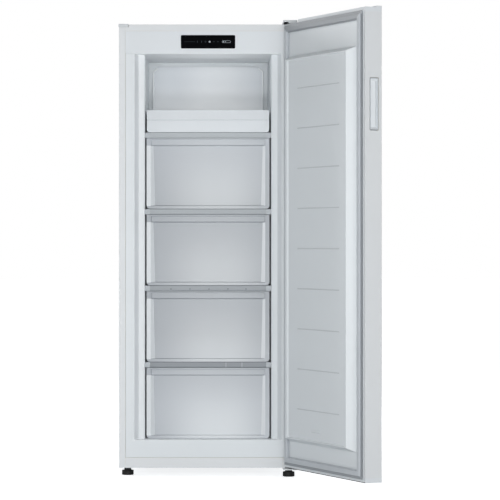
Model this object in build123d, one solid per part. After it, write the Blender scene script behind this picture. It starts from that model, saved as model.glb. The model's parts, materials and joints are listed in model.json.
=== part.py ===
"""An upright no-frost freezer: a foamed steel cabinet with four drawers and a tray, and one hinged door.

Millimetres. +Z is up, +Y points to the back, and +X is to the right of someone facing the cabinet.
The origin is on the floor, in the middle of the cabinet's footprint.
The door is drawn shut, with u counted from its hinge edge and t from its inner face outwards, and is then
swung open about its hinge pins to the angle at which it stands.
"""

import os
from math import atan2, degrees

from build123d import *

# ---- the cabinet's outside ----
WIDTH = 553.0
CABINET_DEPTH = 507.0
BODY_HEIGHT = 1376.0
FOOT_HEIGHT = 24.0
STEEL = 0.8  # coated steel sheet of the sides, the top, the back and the door
SIDE_FLANGE = 19.5  # the side panels' return on the front plane
TOP_FLANGE = 20.0
REAR_FLANGE = 14.0
SEAM = 0.3  # the gap left where two panels meet

# ---- the kick plate and the control fascia ----
KICK_HEIGHT = 31.0
KICK_SHEET = 1.2
KICK_RETURN = 24.0
FASCIA_HEIGHT = 69.0
FASCIA_DEPTH = 25.0
FASCIA_WALL = 2.2
DISPLAY_WIDTH = 169.0
DISPLAY_HEIGHT = 42.0
DISPLAY_DROP = 12.3  # from the fascia's top edge to the display
DISPLAY_CORNER = 4.0
BOARD_WIDTH = 144.0
BOARD_HEIGHT = 34.0
BOARD_SHEET = 1.6
BOARD_SETBACK = 12.0
BOARD_POST_R = 2.5

# ---- the lined interior ----
LINER = 1.5
SIDE_WALL = 80.0
MOUTH_LIP = 28.0  # the flat band that the door's seal shuts on
THROAT_IN = 12.0
THROAT_DEPTH = 34.0
BEVEL_DEPTH = 44.0
BEVEL_SHIFT = 0.6  # of the sheet's thickness, so that it stays even round the shallow bevel
FLOOR_WALL = 87.5
REAR_WALL = 59.0  # the foam behind the evaporator
POCKET_DEPTH = 46.0  # the evaporator's space behind the duct cover
POCKET_SIDE = 24.5  # from the interior's side to the pocket's
POCKET_FLOOR_RISE = 16.0
POCKET_TOP_DROP = 24.0
DUCT_PROUD = 8.0
DUCT_SIDE = 15.5  # from the interior's side to the cover's
DUCT_TOP_DROP = 12.0
DUCT_CORNER = 18.0
DUCT_SHEET = 2.0

# ---- the machine bay at the bottom of the back ----
BAY_DEPTH = 185.0
BAY_HEIGHT = 202.0
STEP_WALL = 45.0
BASE_SHEET = 2.0

# ---- the shelves, the drawers and the tray ----
LEVELS = 4
LEVEL_PITCH = 239.0
SHELF_HEIGHT = 18.0
GLASS = 4.0
TRIM_DEPTH = 12.0
TRIM_GRIP = 6.0  # how far the glass reaches into its trim
LEDGE_WIDTH = 8.0
LEDGE_HEIGHT = 8.0
DRAWER_SETBACK = 50.0
DRAWER_SIDE_GAP = 5.5
DRAWER_REAR_GAP = 4.0
GLIDE_GAP = 0.3
LIFT_GAP = 1.2
DRAWER_WALL = 2.2
FRONT_DEPTH = 14.0
FRONT_RECESS = 9.0
FRONT_SHEET = 2.6
GRIP_HEIGHT = 23.0
FRONT_SIDE_FRAME = 19.0
FRONT_FOOT_FRAME = 9.0
FRONT_CORNER = 10.0
BASKET_DROP = 12.0
BASKET_CORNER = 3.0
BASKET_INSET = 3.0  # from the side of a drawer's front to its basket
TRAY_HEIGHT = 71.5
TRAY_GROOVE_RISE = 38.0
TRAY_GROOVE = 2.0
TRAY_LEAN = 4.0

# ---- the door ----
DOOR_THICKNESS = 55.0
DOOR_GAP = 12.0  # from the cabinet's front plane to the door's inner face
DOOR_LIFT = 3.0  # the door's underside above the cabinet's
DOOR_RISE = 6.5  # the door's top above the cabinet's
DOOR_ANGLE = 113.1  # how far the door stands open
CAP_HEIGHT = 14.0
CAP_LIP_DEPTH = 19.0
CAP_LIP_RISE = 3.5
CAP_CORNER = 4.0
HINGE_RECESS_LENGTH = 95.0
HINGE_RECESS_GAP = 3.0
DOOR_RETURN = 12.0
GASKET_INSET = 10.0
GASKET_WIDTH = 27.0
GASKET_BASE = 3.5
BULB_INSET = 18.5
BULB_WIDTH = 15.5
SEAL_GAP = 0.3
PAD_RISE = 30.0
PAD_SIDE = 53.0  # from the door's edge to the foot of its raised pad
PAD_TOP = 110.5
PAD_BOTTOM = 85.0
PAD_SLOPE = 13.0
PAD_RIDGE = 11.0
PAD_SINK = 4.0
PAD_SINK_SLOPE = 6.0
PAD_LINES = 9
PAD_LINE_PITCH = 121.7
PAD_LINE_FIRST = 104.0  # from the pad's top edge to its first line
PAD_LINE_WIDTH = 3.0
PAD_LINE_DEEP = 0.8
PAD_LINE_INSET = 92.0

# ---- the door's recessed handle ----
HANDLE_HEIGHT = 154.0
HANDLE_WIDTH = 30.0
HANDLE_DROP = 204.5  # from the door's top to the handle
HANDLE_SETBACK = 14.0  # from the door's inner face
HANDLE_DEEP = 24.0
HANDLE_WALL = 2.0
HANDLE_CORNER = 4.0

# ---- the hinges ----
PIVOT_INSET = 16.5  # from the door's hinge edge
PIVOT_SETBACK = 17.0  # from the door's inner face
BRACKET = 3.0
BRACKET_HALF = 14.0
BRACKET_REACH = 75.0
TOP_PIN_R = 4.0
TOP_PIN_LENGTH = 21.0
LOW_PIN_R = 3.5
LOW_PIN_LENGTH = 18.0
PIN_CLEARANCE = 0.05
BUSH_WALL = 3.0
BUSH_LENGTH = 18.0
BUSH_FLANGE_R = 10.0
HINGE_COVER_HEIGHT = 10.0
HINGE_COVER_WALL = 1.8
HINGE_COVER_MARGIN = 14.0
HINGE_COVER_CORNER = 4.0
COVER_NOTCH_WIDTH = 16.0
COVER_NOTCH_HEIGHT = 4.0
LOW_BRACKET = 3.5
LOW_LEG_HEIGHT = 26.0
SCREW_R = 2.5
SCREW_LENGTH = 14.0
SCREW_HEAD_R = 4.6
SCREW_HEAD = 3.5
SCREW_PITCH = 21.0
CORNER_CAP_WIDTH = 33.0
CORNER_CAP_DEPTH = 52.0
CORNER_CAP_DROP = 8.0
CORNER_CAP_PROUD = 3.0

# ---- what it stands on ----
FOOT_R = 18.2
FOOT_PAD = 15.0
FOOT_CHAMFER = 2.0
FOOT_NECK_R = 11.0
FOOT_STEM_R = 4.0
LEFT_FOOT_INSET = 26.5
LEFT_FOOT_SETBACK = 35.0
RIGHT_FOOT_FROM_PIVOT_X = 10.5
RIGHT_FOOT_FROM_PIVOT_Y = 7.5
BOSS_R = 9.0
BOSS_HEIGHT = 16.0
ROLLER_R = 11.0
ROLLER_WIDTH = 18.0
ROLLER_INSET = 51.5
ROLLER_SETBACK = 40.0
ROLLER_SIDE_GAP = 0.5
AXLE_R = 2.5
AXLE_CLEARANCE = 0.08
EAR = 3.0
EAR_HALF = 9.0

# ---- the cooling parts ----
COMPRESSOR_X = 70.0
COMPRESSOR_SETBACK = 95.0
COMPRESSOR_LENGTH = 150.0
COMPRESSOR_WIDTH = 125.0
COMPRESSOR_HEIGHT = 146.0
COMPRESSOR_CORNER = 52.0
COMPRESSOR_EDGE = 24.0
WELD_PROUD = 2.0
WELD_HEIGHT = 5.0
MOUNT_LENGTH = 190.0
MOUNT_WIDTH = 104.0
MOUNT_SHEET = 3.0
GROMMET_R = 10.0
GROMMET_HEIGHT = 15.0
GROMMET_INSET = 14.0
TERMINAL_DEPTH = 35.0
TERMINAL_WIDTH = 46.0
TERMINAL_HEIGHT = 60.0
TERMINAL_RISE = 46.0
TRAY_PAN_LENGTH = 160.0
TRAY_PAN_WIDTH = 112.0
TRAY_PAN_HEIGHT = 22.0
TRAY_PAN_WALL = 1.5
TRAY_PAN_CORNER = 12.0
PIPE_R = 3.0
SUCTION_R = 4.0
PIPE_BEND = 18.0
DRIER_R = 9.0
DRIER_LENGTH = 90.0
DRIER_INSET = 46.0
DRAIN_R = 9.0
DRAIN_BORE_R = 7.0
DRAIN_LENGTH_BELOW = 20.0
EVAPORATOR_SIDE = 26.0  # from the pocket's side to the coil's bends
EVAPORATOR_TUBE_R = 4.0
EVAPORATOR_PASSES = 6
EVAPORATOR_PITCH = 38.0
EVAPORATOR_RISE = 53.0  # from the pocket's floor to the first pass
FIN_COUNT = 22
FIN = 0.5
FIN_MARGIN = 15.0
HEATER_R = 3.5
FAN_RISE = 388.0  # from the pocket's floor to the fan's axis
FAN_R = 48.0
FAN_HUB_R = 12.0
FAN_HUB_LENGTH = 14.0
FAN_BLADES = 5
FAN_CHORD = 24.0
FAN_PITCH = 30.0
FAN_BLADE = 1.6
MOTOR_R = 25.0
MOTOR_LENGTH = 22.0
SHAFT_R = 2.0
SHAFT_CLEARANCE = 0.06
SHROUD_GAP = 5.0
SLOT_HEIGHT = 6.0
SLOT_PITCH = 12.0

# ---- the back ----
COVER_SLOTS = 14
COVER_SLOT_WIDTH = 10.0
COVER_SLOT_HEIGHT = 60.0
COVER_SLOT_PITCH = 24.0
COVER_GAP = 4.0
INLET_X = -220.0
INLET_RISE = 36.0
INLET_WIDTH = 28.0
INLET_HEIGHT = 22.0
INLET_DEPTH = 20.0
INLET_WALL = 2.5
INLET_PIN_R = 1.8
REAR_SCREW_R = 4.0
REAR_SCREW_HEAD = 1.8
REAR_SCREW_R_SHANK = 1.9
REAR_SCREW_LENGTH = 6.0

# ---- worked out from the sizes above ----
TOP_Z = FOOT_HEIGHT + BODY_HEIGHT
Y_FRONT = -CABINET_DEPTH / 2
Y_BACK = CABINET_DEPTH / 2
Y_SHELL_BACK = Y_BACK - STEEL
HALF = WIDTH / 2
INNER_HALF = HALF - SIDE_WALL
FACE_HALF = HALF - SIDE_FLANGE
MOUTH_HALF = FACE_HALF - MOUTH_LIP
KICK_TOP = FOOT_HEIGHT + KICK_HEIGHT
FASCIA_TOP = TOP_Z - TOP_FLANGE - SEAM
FASCIA_BOTTOM = FASCIA_TOP - FASCIA_HEIGHT
CEILING = FASCIA_BOTTOM - SEAM - LINER
FLOOR = FOOT_HEIGHT + FLOOR_WALL
BAY_Y = Y_BACK - BAY_DEPTH
BAY_TOP = FOOT_HEIGHT + BAY_HEIGHT
STEP_Y = BAY_Y - STEP_WALL
STEP_TOP = BAY_TOP + STEP_WALL
POCKET_FLOOR = STEP_TOP + POCKET_FLOOR_RISE
POCKET_TOP = CEILING - POCKET_TOP_DROP
POCKET_Y = Y_BACK - REAR_WALL
REAR_Y = POCKET_Y - POCKET_DEPTH
DUCT_Y = REAR_Y - DUCT_PROUD
DRAWER_Y = Y_FRONT + DRAWER_SETBACK
DRAWER_HALF = INNER_HALF - DRAWER_SIDE_GAP
DRAWER_HEIGHT = LEVEL_PITCH - SHELF_HEIGHT - GLIDE_GAP - LIFT_GAP
LEVEL_Z = [FLOOR + LEVEL_PITCH * n for n in range(LEVELS + 1)]
DOOR_BOTTOM = FOOT_HEIGHT + DOOR_LIFT
DOOR_TOP = TOP_Z + DOOR_RISE
DOOR_INNER_Y = Y_FRONT - DOOR_GAP
HANDLE_Z = DOOR_TOP - HANDLE_DROP - HANDLE_HEIGHT
PIVOT_X = HALF - PIVOT_INSET
PIVOT_Y = DOOR_INNER_Y - PIVOT_SETBACK
HINGE_RECESS_Z = TOP_Z - HINGE_RECESS_GAP
RIGHT_FOOT = (PIVOT_X - RIGHT_FOOT_FROM_PIVOT_X, PIVOT_Y + RIGHT_FOOT_FROM_PIVOT_Y)
LEFT_FOOT = (LEFT_FOOT_INSET - HALF, Y_FRONT + LEFT_FOOT_SETBACK)
COMPRESSOR_Y = Y_BACK - COMPRESSOR_SETBACK
BASE_TOP = FOOT_HEIGHT + BASE_SHEET
MOUNT_Z = BASE_TOP + GROMMET_HEIGHT
COMPRESSOR_Z = MOUNT_Z + MOUNT_SHEET
COMPRESSOR_TOP = COMPRESSOR_Z + COMPRESSOR_HEIGHT
DRAIN_Y = (REAR_Y + POCKET_Y) / 2
EVAPORATOR_Y = REAR_Y + POCKET_DEPTH / 2
FAN_Z = POCKET_FLOOR + FAN_RISE
POCKET_HALF = INNER_HALF - POCKET_SIDE
DUCT_HALF = INNER_HALF - DUCT_SIDE
EVAPORATOR_HALF = POCKET_HALF - EVAPORATOR_SIDE
SHROUD_R = FAN_R + SHROUD_GAP
DISPLAY_TOP = FASCIA_TOP - DISPLAY_DROP
DISPLAY_Z = DISPLAY_TOP - DISPLAY_HEIGHT / 2


# ---- small helpers ----
def block(x, y, z):
    """A box over three (low, high) spans."""
    size = [high - low for low, high in (x, y, z)]
    middle = [(low + high) / 2 for low, high in (x, y, z)]
    return Pos(*middle) * Box(*size)


def rounded(x, y, z, radius, axis):
    """A box over three spans, with the four edges along one axis rounded."""
    solid = block(x, y, z)
    return fillet(solid.edges().filter_by(axis), radius)


def rod(start, end, radius):
    """A round bar from one point to another."""
    way = Vector(*end) - Vector(*start)
    return extrude(Plane(origin=start, z_dir=way) * Circle(radius), way.length)


def plan(points, low, high):
    """An outline in X and Y, raised from one height to another."""
    return extrude(Plane.XY.offset(low) * make_face(Polyline(*points, close=True)), high - low)


def profile(points, low, high):
    """An outline in Y and Z, drawn out along X."""
    return extrude(Plane.YZ.offset(low) * make_face(Polyline(*points, close=True)), high - low)


def both(half):
    return (-half, half)


def around(middle, size):
    return (middle - size / 2, middle + size / 2)


def pipe(points, radius, bend):
    """A round pipe along straight runs joined by arcs."""
    path = FilletPolyline(*points, radius=bend)
    start = Plane(origin=path @ 0, z_dir=path % 0)
    return sweep(start * Circle(radius), path=path)


# ---- the cabinet's shell ----
def corner_cap_space(clearance):
    x = (-HALF - CORNER_CAP_PROUD, CORNER_CAP_WIDTH - HALF - CORNER_CAP_PROUD + clearance)
    y = (Y_FRONT - clearance, Y_FRONT + CORNER_CAP_DEPTH + clearance)
    z = (TOP_Z - CORNER_CAP_DROP - clearance, TOP_Z + CORNER_CAP_PROUD)
    return x, y, z


def hinge_screw_places():
    """Where the three screws of each hinge go, as (x, y)."""
    rear = Y_FRONT + BRACKET_REACH - BRACKET_HALF + SCREW_HEAD_R
    return [(PIVOT_X, rear - SCREW_PITCH * n) for n in range(3)]


def side_panel(side):
    """One bent sheet: a side of the cabinet, with its returns on the front and the back."""
    everywhere = (0, 2 * TOP_Z)
    x = sorted((side * FACE_HALF, side * HALF))
    panel = block(x, (Y_FRONT, Y_SHELL_BACK), (FOOT_HEIGHT, TOP_Z))
    inside = sorted((0, side * (HALF - STEEL)))
    panel -= block(inside, (Y_FRONT + STEEL, Y_SHELL_BACK - STEEL), everywhere)
    inside = sorted((0, side * (HALF - REAR_FLANGE)))
    panel -= block(inside, (Y_SHELL_BACK - 2 * STEEL, Y_BACK), everywhere)
    return panel - block(*corner_cap_space(SEAM)) - rear_screw_shanks()


def top_panel():
    """The top sheet between the two sides, bent down in front and at the back."""
    panel = block(both(HALF - STEEL), (Y_FRONT, Y_SHELL_BACK), (TOP_Z - TOP_FLANGE, TOP_Z))
    panel -= block(both(HALF), (Y_FRONT + STEEL, Y_SHELL_BACK - STEEL), (0, TOP_Z - STEEL))
    panel -= block(both(HALF), (Y_SHELL_BACK - 2 * STEEL, Y_BACK), (0, TOP_Z - REAR_FLANGE))
    for side in (-1, 1):
        front_x = sorted((side * FACE_HALF, side * HALF))
        panel -= block(front_x, (Y_FRONT, Y_FRONT + STEEL), (0, TOP_Z))
        rear_x = sorted((side * (HALF - REAR_FLANGE), side * HALF))
        panel -= block(rear_x, (Y_SHELL_BACK - STEEL, Y_BACK), (0, TOP_Z))
    panel -= block(*corner_cap_space(SEAM))
    for x, y in hinge_screw_places():
        panel -= rod((x, y, TOP_Z - 2 * STEEL), (x, y, TOP_Z + 1), SCREW_R)
    return panel - rear_screw_shanks()


def corner_cap():
    """The moulded cap on the corner that a left-hung door would use."""
    x, y, z = corner_cap_space(0)
    return rounded(x, y, z, CORNER_CAP_PROUD * 0.6, Axis.Y)


def liner_plan(grow, front):
    """The interior's outline seen from above, grown outwards by one amount."""
    half = [MOUTH_HALF + grow, HALF - SIDE_FLANGE - MOUTH_LIP - THROAT_IN + grow, INNER_HALF + grow]
    shift = BEVEL_SHIFT * grow
    y = [Y_FRONT, Y_FRONT + THROAT_DEPTH + shift, Y_FRONT + BEVEL_DEPTH + shift, REAR_Y + grow]
    right = [(half[0], front), (half[0], y[0]), (half[1], y[1]), (half[2], y[2]), (half[2], y[3])]
    return right + [(-px, py) for px, py in reversed(right)]


def interior(grow, front):
    """The space inside the liner, or with grow the space that the liner fills as well."""
    space = plan(liner_plan(grow, front), FLOOR - grow, CEILING + grow)
    step_y = (STEP_Y + grow, Y_BACK)
    space -= block(both(WIDTH), step_y, (0, STEP_TOP - grow))
    pocket_y = (REAR_Y - 1, POCKET_Y + grow)
    return space + block(both(POCKET_HALF + grow), pocket_y, (POCKET_FLOOR - grow, POCKET_TOP + grow))


def liner_face():
    return block(both(FACE_HALF - SEAM), (Y_FRONT, Y_FRONT + LINER), (KICK_TOP + SEAM, CEILING + LINER))


def drain_hole(clearance):
    return rod((COMPRESSOR_X, DRAIN_Y, 0), (COMPRESSOR_X, DRAIN_Y, POCKET_FLOOR + 1), DRAIN_R + clearance)


def inner_liner():
    shell = interior(LINER, Y_FRONT - 1) & block(both(HALF), (Y_FRONT, Y_BACK), (0, TOP_Z))
    shell = shell + liner_face() - interior(0, Y_FRONT - 1)
    ledge_y = (DRAWER_Y + TRIM_DEPTH + 2, DUCT_Y - 2)
    for level in LEVEL_Z[1:]:
        ledge_z = (level - GLASS - LEDGE_HEIGHT, level - GLASS)
        for side in (-1, 1):
            x = sorted((side * (INNER_HALF - LEDGE_WIDTH), side * (INNER_HALF + LINER / 2)))
            shell += block(x, ledge_y, ledge_z)
    return shell - drain_hole(0)


def foam_insulation():
    z = (FOOT_HEIGHT + KICK_SHEET, TOP_Z - STEEL)
    foam = block(both(HALF - STEEL), (Y_FRONT + LINER, Y_SHELL_BACK - STEEL), z)
    foam -= interior(LINER, Y_FRONT - 1)
    foam -= block(both(WIDTH), (BAY_Y - STEEL, Y_BACK), (0, BAY_TOP + STEEL))
    fascia_z = (FASCIA_BOTTOM - SEAM, FASCIA_TOP + SEAM)
    foam -= block(both(FACE_HALF), (Y_FRONT, Y_FRONT + FASCIA_DEPTH + SEAM), fascia_z)
    foam -= block(*corner_cap_space(SEAM))
    foam -= block(*low_leg_space(SEAM))
    x, y = LEFT_FOOT
    foam -= rod((x, y, 0), (x, y, FOOT_HEIGHT + BOSS_HEIGHT), BOSS_R)
    for x, y in hinge_screw_places():
        foam -= rod((x, y, TOP_Z + BRACKET - SCREW_LENGTH), (x, y, TOP_Z), SCREW_R)
        foam -= rod((x, y, 0), (x, y, FOOT_HEIGHT - LOW_BRACKET + SCREW_LENGTH), SCREW_R)
    return foam - drain_hole(0) - rear_screw_shanks()


def kick_plate():
    outline = [
        (Y_FRONT, FOOT_HEIGHT),
        (Y_FRONT + KICK_RETURN, FOOT_HEIGHT),
        (Y_FRONT + KICK_RETURN, FOOT_HEIGHT + KICK_SHEET),
        (Y_FRONT + KICK_SHEET, FOOT_HEIGHT + KICK_SHEET),
        (Y_FRONT + KICK_SHEET, KICK_TOP),
        (Y_FRONT, KICK_TOP),
    ]
    plate = profile(outline, SEAM - FACE_HALF, FACE_HALF - SEAM) - block(*low_leg_space(SEAM))
    for x, y in hinge_screw_places():
        plate -= rod((x, y, 0), (x, y, KICK_TOP), SCREW_R)
    return plate


def bottom_sheet():
    """One sheet: under the foam, up the machine bay's front and back over its top."""
    outline = [
        (Y_FRONT + KICK_RETURN + SEAM, FOOT_HEIGHT),
        (BAY_Y, FOOT_HEIGHT),
        (BAY_Y, BAY_TOP),
        (Y_SHELL_BACK - STEEL, BAY_TOP),
        (Y_SHELL_BACK - STEEL, BAY_TOP + STEEL),
        (BAY_Y - STEEL, BAY_TOP + STEEL),
        (BAY_Y - STEEL, FOOT_HEIGHT + STEEL),
        (Y_FRONT + KICK_RETURN + SEAM, FOOT_HEIGHT + STEEL),
    ]
    sheet = profile(outline, STEEL - HALF, HALF - STEEL) - drain_hole(0)
    x, y = LEFT_FOOT
    sheet += rod((x, y, FOOT_HEIGHT), (x, y, FOOT_HEIGHT + BOSS_HEIGHT), BOSS_R)
    sheet -= rod((x, y, 0), (x, y, FOOT_HEIGHT + BOSS_HEIGHT), FOOT_STEM_R + PIN_CLEARANCE)
    for x, y in hinge_screw_places():
        sheet -= rod((x, y, 0), (x, y, KICK_TOP), SCREW_R)
    return sheet


def back_panel():
    panel = block(both(HALF - 1), (Y_SHELL_BACK, Y_BACK), (BAY_TOP - REAR_FLANGE / 2, TOP_Z - 1))
    return panel - rear_screw_shanks()


def back_screw_places():
    x = HALF - REAR_FLANGE / 2
    low, high = BAY_TOP + REAR_FLANGE, TOP_Z - REAR_FLANGE / 2
    middle = (low + high) / 2
    return [(side * x, z) for side in (-1, 1) for z in (low, middle, high)]


def cover_screw_places():
    x = HALF - REAR_FLANGE / 2
    low, high = FOOT_HEIGHT + 2 * REAR_FLANGE, BAY_TOP - 2 * REAR_FLANGE
    return [(side * x, z) for side in (-1, 1) for z in (low, high)]


def rear_screw_shanks():
    shanks = []
    for x, z in back_screw_places() + cover_screw_places():
        shanks.append(rod((x, Y_BACK - REAR_SCREW_LENGTH, z), (x, Y_BACK, z), REAR_SCREW_R_SHANK))
    return Compound(children=shanks)


def rear_screws():
    """The screws that hold the back panel and the machine bay's cover to the side panels."""
    screws = []
    for shank, (x, z) in zip(rear_screw_shanks().solids(), back_screw_places() + cover_screw_places()):
        screws.append(shank + rod((x, Y_BACK, z), (x, Y_BACK + REAR_SCREW_HEAD, z), REAR_SCREW_R))
    return Compound(children=screws)


def machine_cover():
    z = (FOOT_HEIGHT + COVER_GAP, BAY_TOP - REAR_FLANGE / 2 - 2 * SEAM)
    cover = block(both(HALF - 1), (Y_SHELL_BACK, Y_BACK), z)
    middle = (z[0] + z[1]) / 2
    for row in (-1, 1):
        slot_z = middle + row * (COVER_SLOT_HEIGHT / 2 + COVER_SLOT_WIDTH / 2)
        for n in range(COVER_SLOTS):
            x = (n - (COVER_SLOTS - 1) / 2) * COVER_SLOT_PITCH + COVER_SLOT_PITCH
            slot = block(
                around(x, COVER_SLOT_WIDTH),
                (Y_SHELL_BACK - 1, Y_BACK + 1),
                around(slot_z, COVER_SLOT_HEIGHT),
            )
            cover -= fillet(slot.edges().filter_by(Axis.Y), COVER_SLOT_WIDTH / 2 - 0.1)
    return cover - block(*inlet_space(0)) - rear_screw_shanks()


def inlet_space(shrink):
    x = around(INLET_X, INLET_WIDTH - 2 * shrink)
    z = around(BASE_TOP + INLET_RISE, INLET_HEIGHT - 2 * shrink)
    return x, (Y_BACK - INLET_DEPTH, Y_BACK + 1), z


def power_inlet():
    body = block(*inlet_space(0))
    x, y, z = inlet_space(INLET_WALL)
    body -= block(x, (y[0] + INLET_WALL, y[1] + 1), z)
    pins = None
    for n in (-1, 0, 1):
        x = INLET_X + n * INLET_PIN_R * 4
        z = BASE_TOP + INLET_RISE + (1 - abs(n)) * INLET_PIN_R * 2
        body += rod((x, y[0] + INLET_WALL / 2, z), (x, Y_BACK - 1, z), INLET_PIN_R)
    return body


# ---- the control panel ----
def display_outline(shrink, y):
    x = both(DISPLAY_WIDTH / 2 - shrink)
    z = (DISPLAY_TOP - DISPLAY_HEIGHT + shrink, DISPLAY_TOP - shrink)
    return rounded(x, y, z, DISPLAY_CORNER - shrink, Axis.Y)


def board_post_places():
    x, z = BOARD_WIDTH / 2 - 2 * BOARD_POST_R, BOARD_HEIGHT / 2 - 2 * BOARD_POST_R
    return [(sx * x, DISPLAY_Z + sz * z) for sx in (-1, 1) for sz in (-1, 1)]


def control_fascia():
    z = (FASCIA_BOTTOM, FASCIA_TOP)
    x = FACE_HALF - SEAM
    shell = block(both(x), (Y_FRONT, Y_FRONT + FASCIA_DEPTH), z)
    shell -= block(
        both(x - FASCIA_WALL),
        (Y_FRONT + FASCIA_WALL, Y_FRONT + FASCIA_DEPTH + 1),
        (z[0] + FASCIA_WALL, z[1] - FASCIA_WALL),
    )
    shell -= display_outline(0, (Y_FRONT - 1, Y_FRONT + FASCIA_WALL + 1))
    rib_x = around(0, DISPLAY_WIDTH + 2 * FASCIA_WALL)
    rib_z = around(DISPLAY_Z, DISPLAY_HEIGHT + 2 * FASCIA_WALL)
    frame = block(rib_x, (Y_FRONT + FASCIA_WALL, Y_FRONT + BOARD_SETBACK), rib_z)
    window_z = around(DISPLAY_Z, DISPLAY_HEIGHT - 2)
    frame -= block(both(DISPLAY_WIDTH / 2 - 1), (Y_FRONT, Y_FRONT + FASCIA_DEPTH), window_z)
    for x, z in board_post_places():
        frame += rod((x, Y_FRONT + FASCIA_WALL + SEAM, z), (x, Y_FRONT + BOARD_SETBACK, z), BOARD_POST_R)
        web_z = sorted((z, DISPLAY_Z + (1 if z > DISPLAY_Z else -1) * (DISPLAY_HEIGHT / 2)))
        web_y = (Y_FRONT + FASCIA_WALL + SEAM, Y_FRONT + BOARD_SETBACK)
        frame += block(around(x, BOARD_POST_R), web_y, web_z)
    return shell + frame


def display_window():
    return display_outline(SEAM / 3, (Y_FRONT, Y_FRONT + FASCIA_WALL))


def control_board():
    y = (Y_FRONT + BOARD_SETBACK, Y_FRONT + BOARD_SETBACK + BOARD_SHEET)
    board = block(both(BOARD_WIDTH / 2), y, around(DISPLAY_Z, BOARD_HEIGHT))
    chip = block(around(BOARD_WIDTH / 5, 24), (y[1], y[1] + 4), around(DISPLAY_Z, 18))
    plug = block(around(-BOARD_WIDTH / 4, 30), (y[1], y[1] + 8), around(DISPLAY_Z, 12))
    return board + chip + plug


# ---- shelves, drawers and the tray ----
def glass_shelves():
    y = (DRAWER_Y + TRIM_DEPTH - TRIM_GRIP, DUCT_Y - 2)
    panes = [block(both(INNER_HALF - 1), y, (level - GLASS, level)) for level in LEVEL_Z[1:]]
    return Compound(children=panes)


def shelf_trims():
    trims = []
    for level in LEVEL_Z[1:]:
        y = (DRAWER_Y, DRAWER_Y + TRIM_DEPTH)
        trim = block(both(INNER_HALF - SEAM), y, (level - SHELF_HEIGHT, level))
        trim = fillet(trim.edges().filter_by(Axis.X).group_by(Axis.Y)[0], 2)
        groove_y = (DRAWER_Y + TRIM_DEPTH - TRIM_GRIP, DRAWER_Y + TRIM_DEPTH + 1)
        trims.append(trim - block(both(HALF), groove_y, (level - GLASS, level + 1)))
    return Compound(children=trims)


def drawer_depth(number):
    """Each drawer's length from front to back; the lowest stops short of the machine bay's step."""
    rear = STEP_Y if number == LEVELS else DUCT_Y
    return rear - DRAWER_REAR_GAP - DRAWER_Y


def drawer_z(number):
    low = LEVEL_Z[LEVELS - number] + GLIDE_GAP
    return low, low + DRAWER_HEIGHT


def drawer_front(number):
    low, high = drawer_z(number)
    y = (DRAWER_Y, DRAWER_Y + FRONT_DEPTH)
    front = block(both(DRAWER_HALF), y, (low, high))
    front = fillet(front.edges().filter_by(Axis.Y).group_by(Axis.Z)[0], FRONT_CORNER)
    x = DRAWER_HALF - FRONT_SIDE_FRAME
    recess_z = (low + FRONT_FOOT_FRAME, high - GRIP_HEIGHT)
    recess = block(both(x), (DRAWER_Y - 1, DRAWER_Y + FRONT_RECESS), recess_z)
    recess = fillet(recess.edges().filter_by(Axis.Y).group_by(Axis.Z)[0], FRONT_CORNER)
    hollow_y = (DRAWER_Y + FRONT_RECESS + FRONT_SHEET, y[1] + 1)
    front -= block(both(x), hollow_y, (low + FRONT_FOOT_FRAME, high - FRONT_SHEET))
    grip = block(
        both(x),
        (DRAWER_Y + FRONT_SHEET, DRAWER_Y + FRONT_RECESS),
        (high - GRIP_HEIGHT - 1, high - FRONT_SHEET),
    )
    return front - recess - grip


def drawer_basket(number):
    low, high = drawer_z(number)
    x = both(DRAWER_HALF - BASKET_INSET)
    y = (DRAWER_Y + FRONT_DEPTH, DRAWER_Y + drawer_depth(number))
    tub = rounded(x, y, (low, high - BASKET_DROP), BASKET_CORNER, Axis.Z)
    wall = DRAWER_WALL
    inner_x, inner_y = (x[0] + wall, x[1] - wall), (y[0] + wall, y[1] - wall)
    return tub - rounded(inner_x, inner_y, (low + wall, high), BASKET_CORNER - wall, Axis.Z)


def top_tray():
    low = LEVEL_Z[LEVELS] + GLIDE_GAP
    high = low + TRAY_HEIGHT
    y = (DRAWER_Y, DUCT_Y - DRAWER_REAR_GAP)
    groove = low + TRAY_GROOVE_RISE
    outline = [
        (y[0], low),
        (y[0], groove),
        (y[0] + TRAY_GROOVE, groove),
        (y[0] + TRAY_GROOVE, groove + TRAY_GROOVE),
        (y[0], groove + TRAY_GROOVE),
        (y[0] + TRAY_LEAN, high),
        (y[1], high),
        (y[1], low),
    ]
    tray = profile(outline, -DRAWER_HALF, DRAWER_HALF)
    front = tray.edges().filter_by(Axis.Y).group_by(Axis.Z)[0]
    tray = fillet(front, FRONT_CORNER / 2)
    wall = TRAY_LEAN + TRAY_GROOVE
    inner = rounded(
        both(DRAWER_HALF - DRAWER_WALL),
        (y[0] + wall, y[1] - DRAWER_WALL),
        (low + DRAWER_WALL, high + 1),
        BASKET_CORNER - DRAWER_WALL,
        Axis.Z,
    )
    return tray - inner


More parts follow.
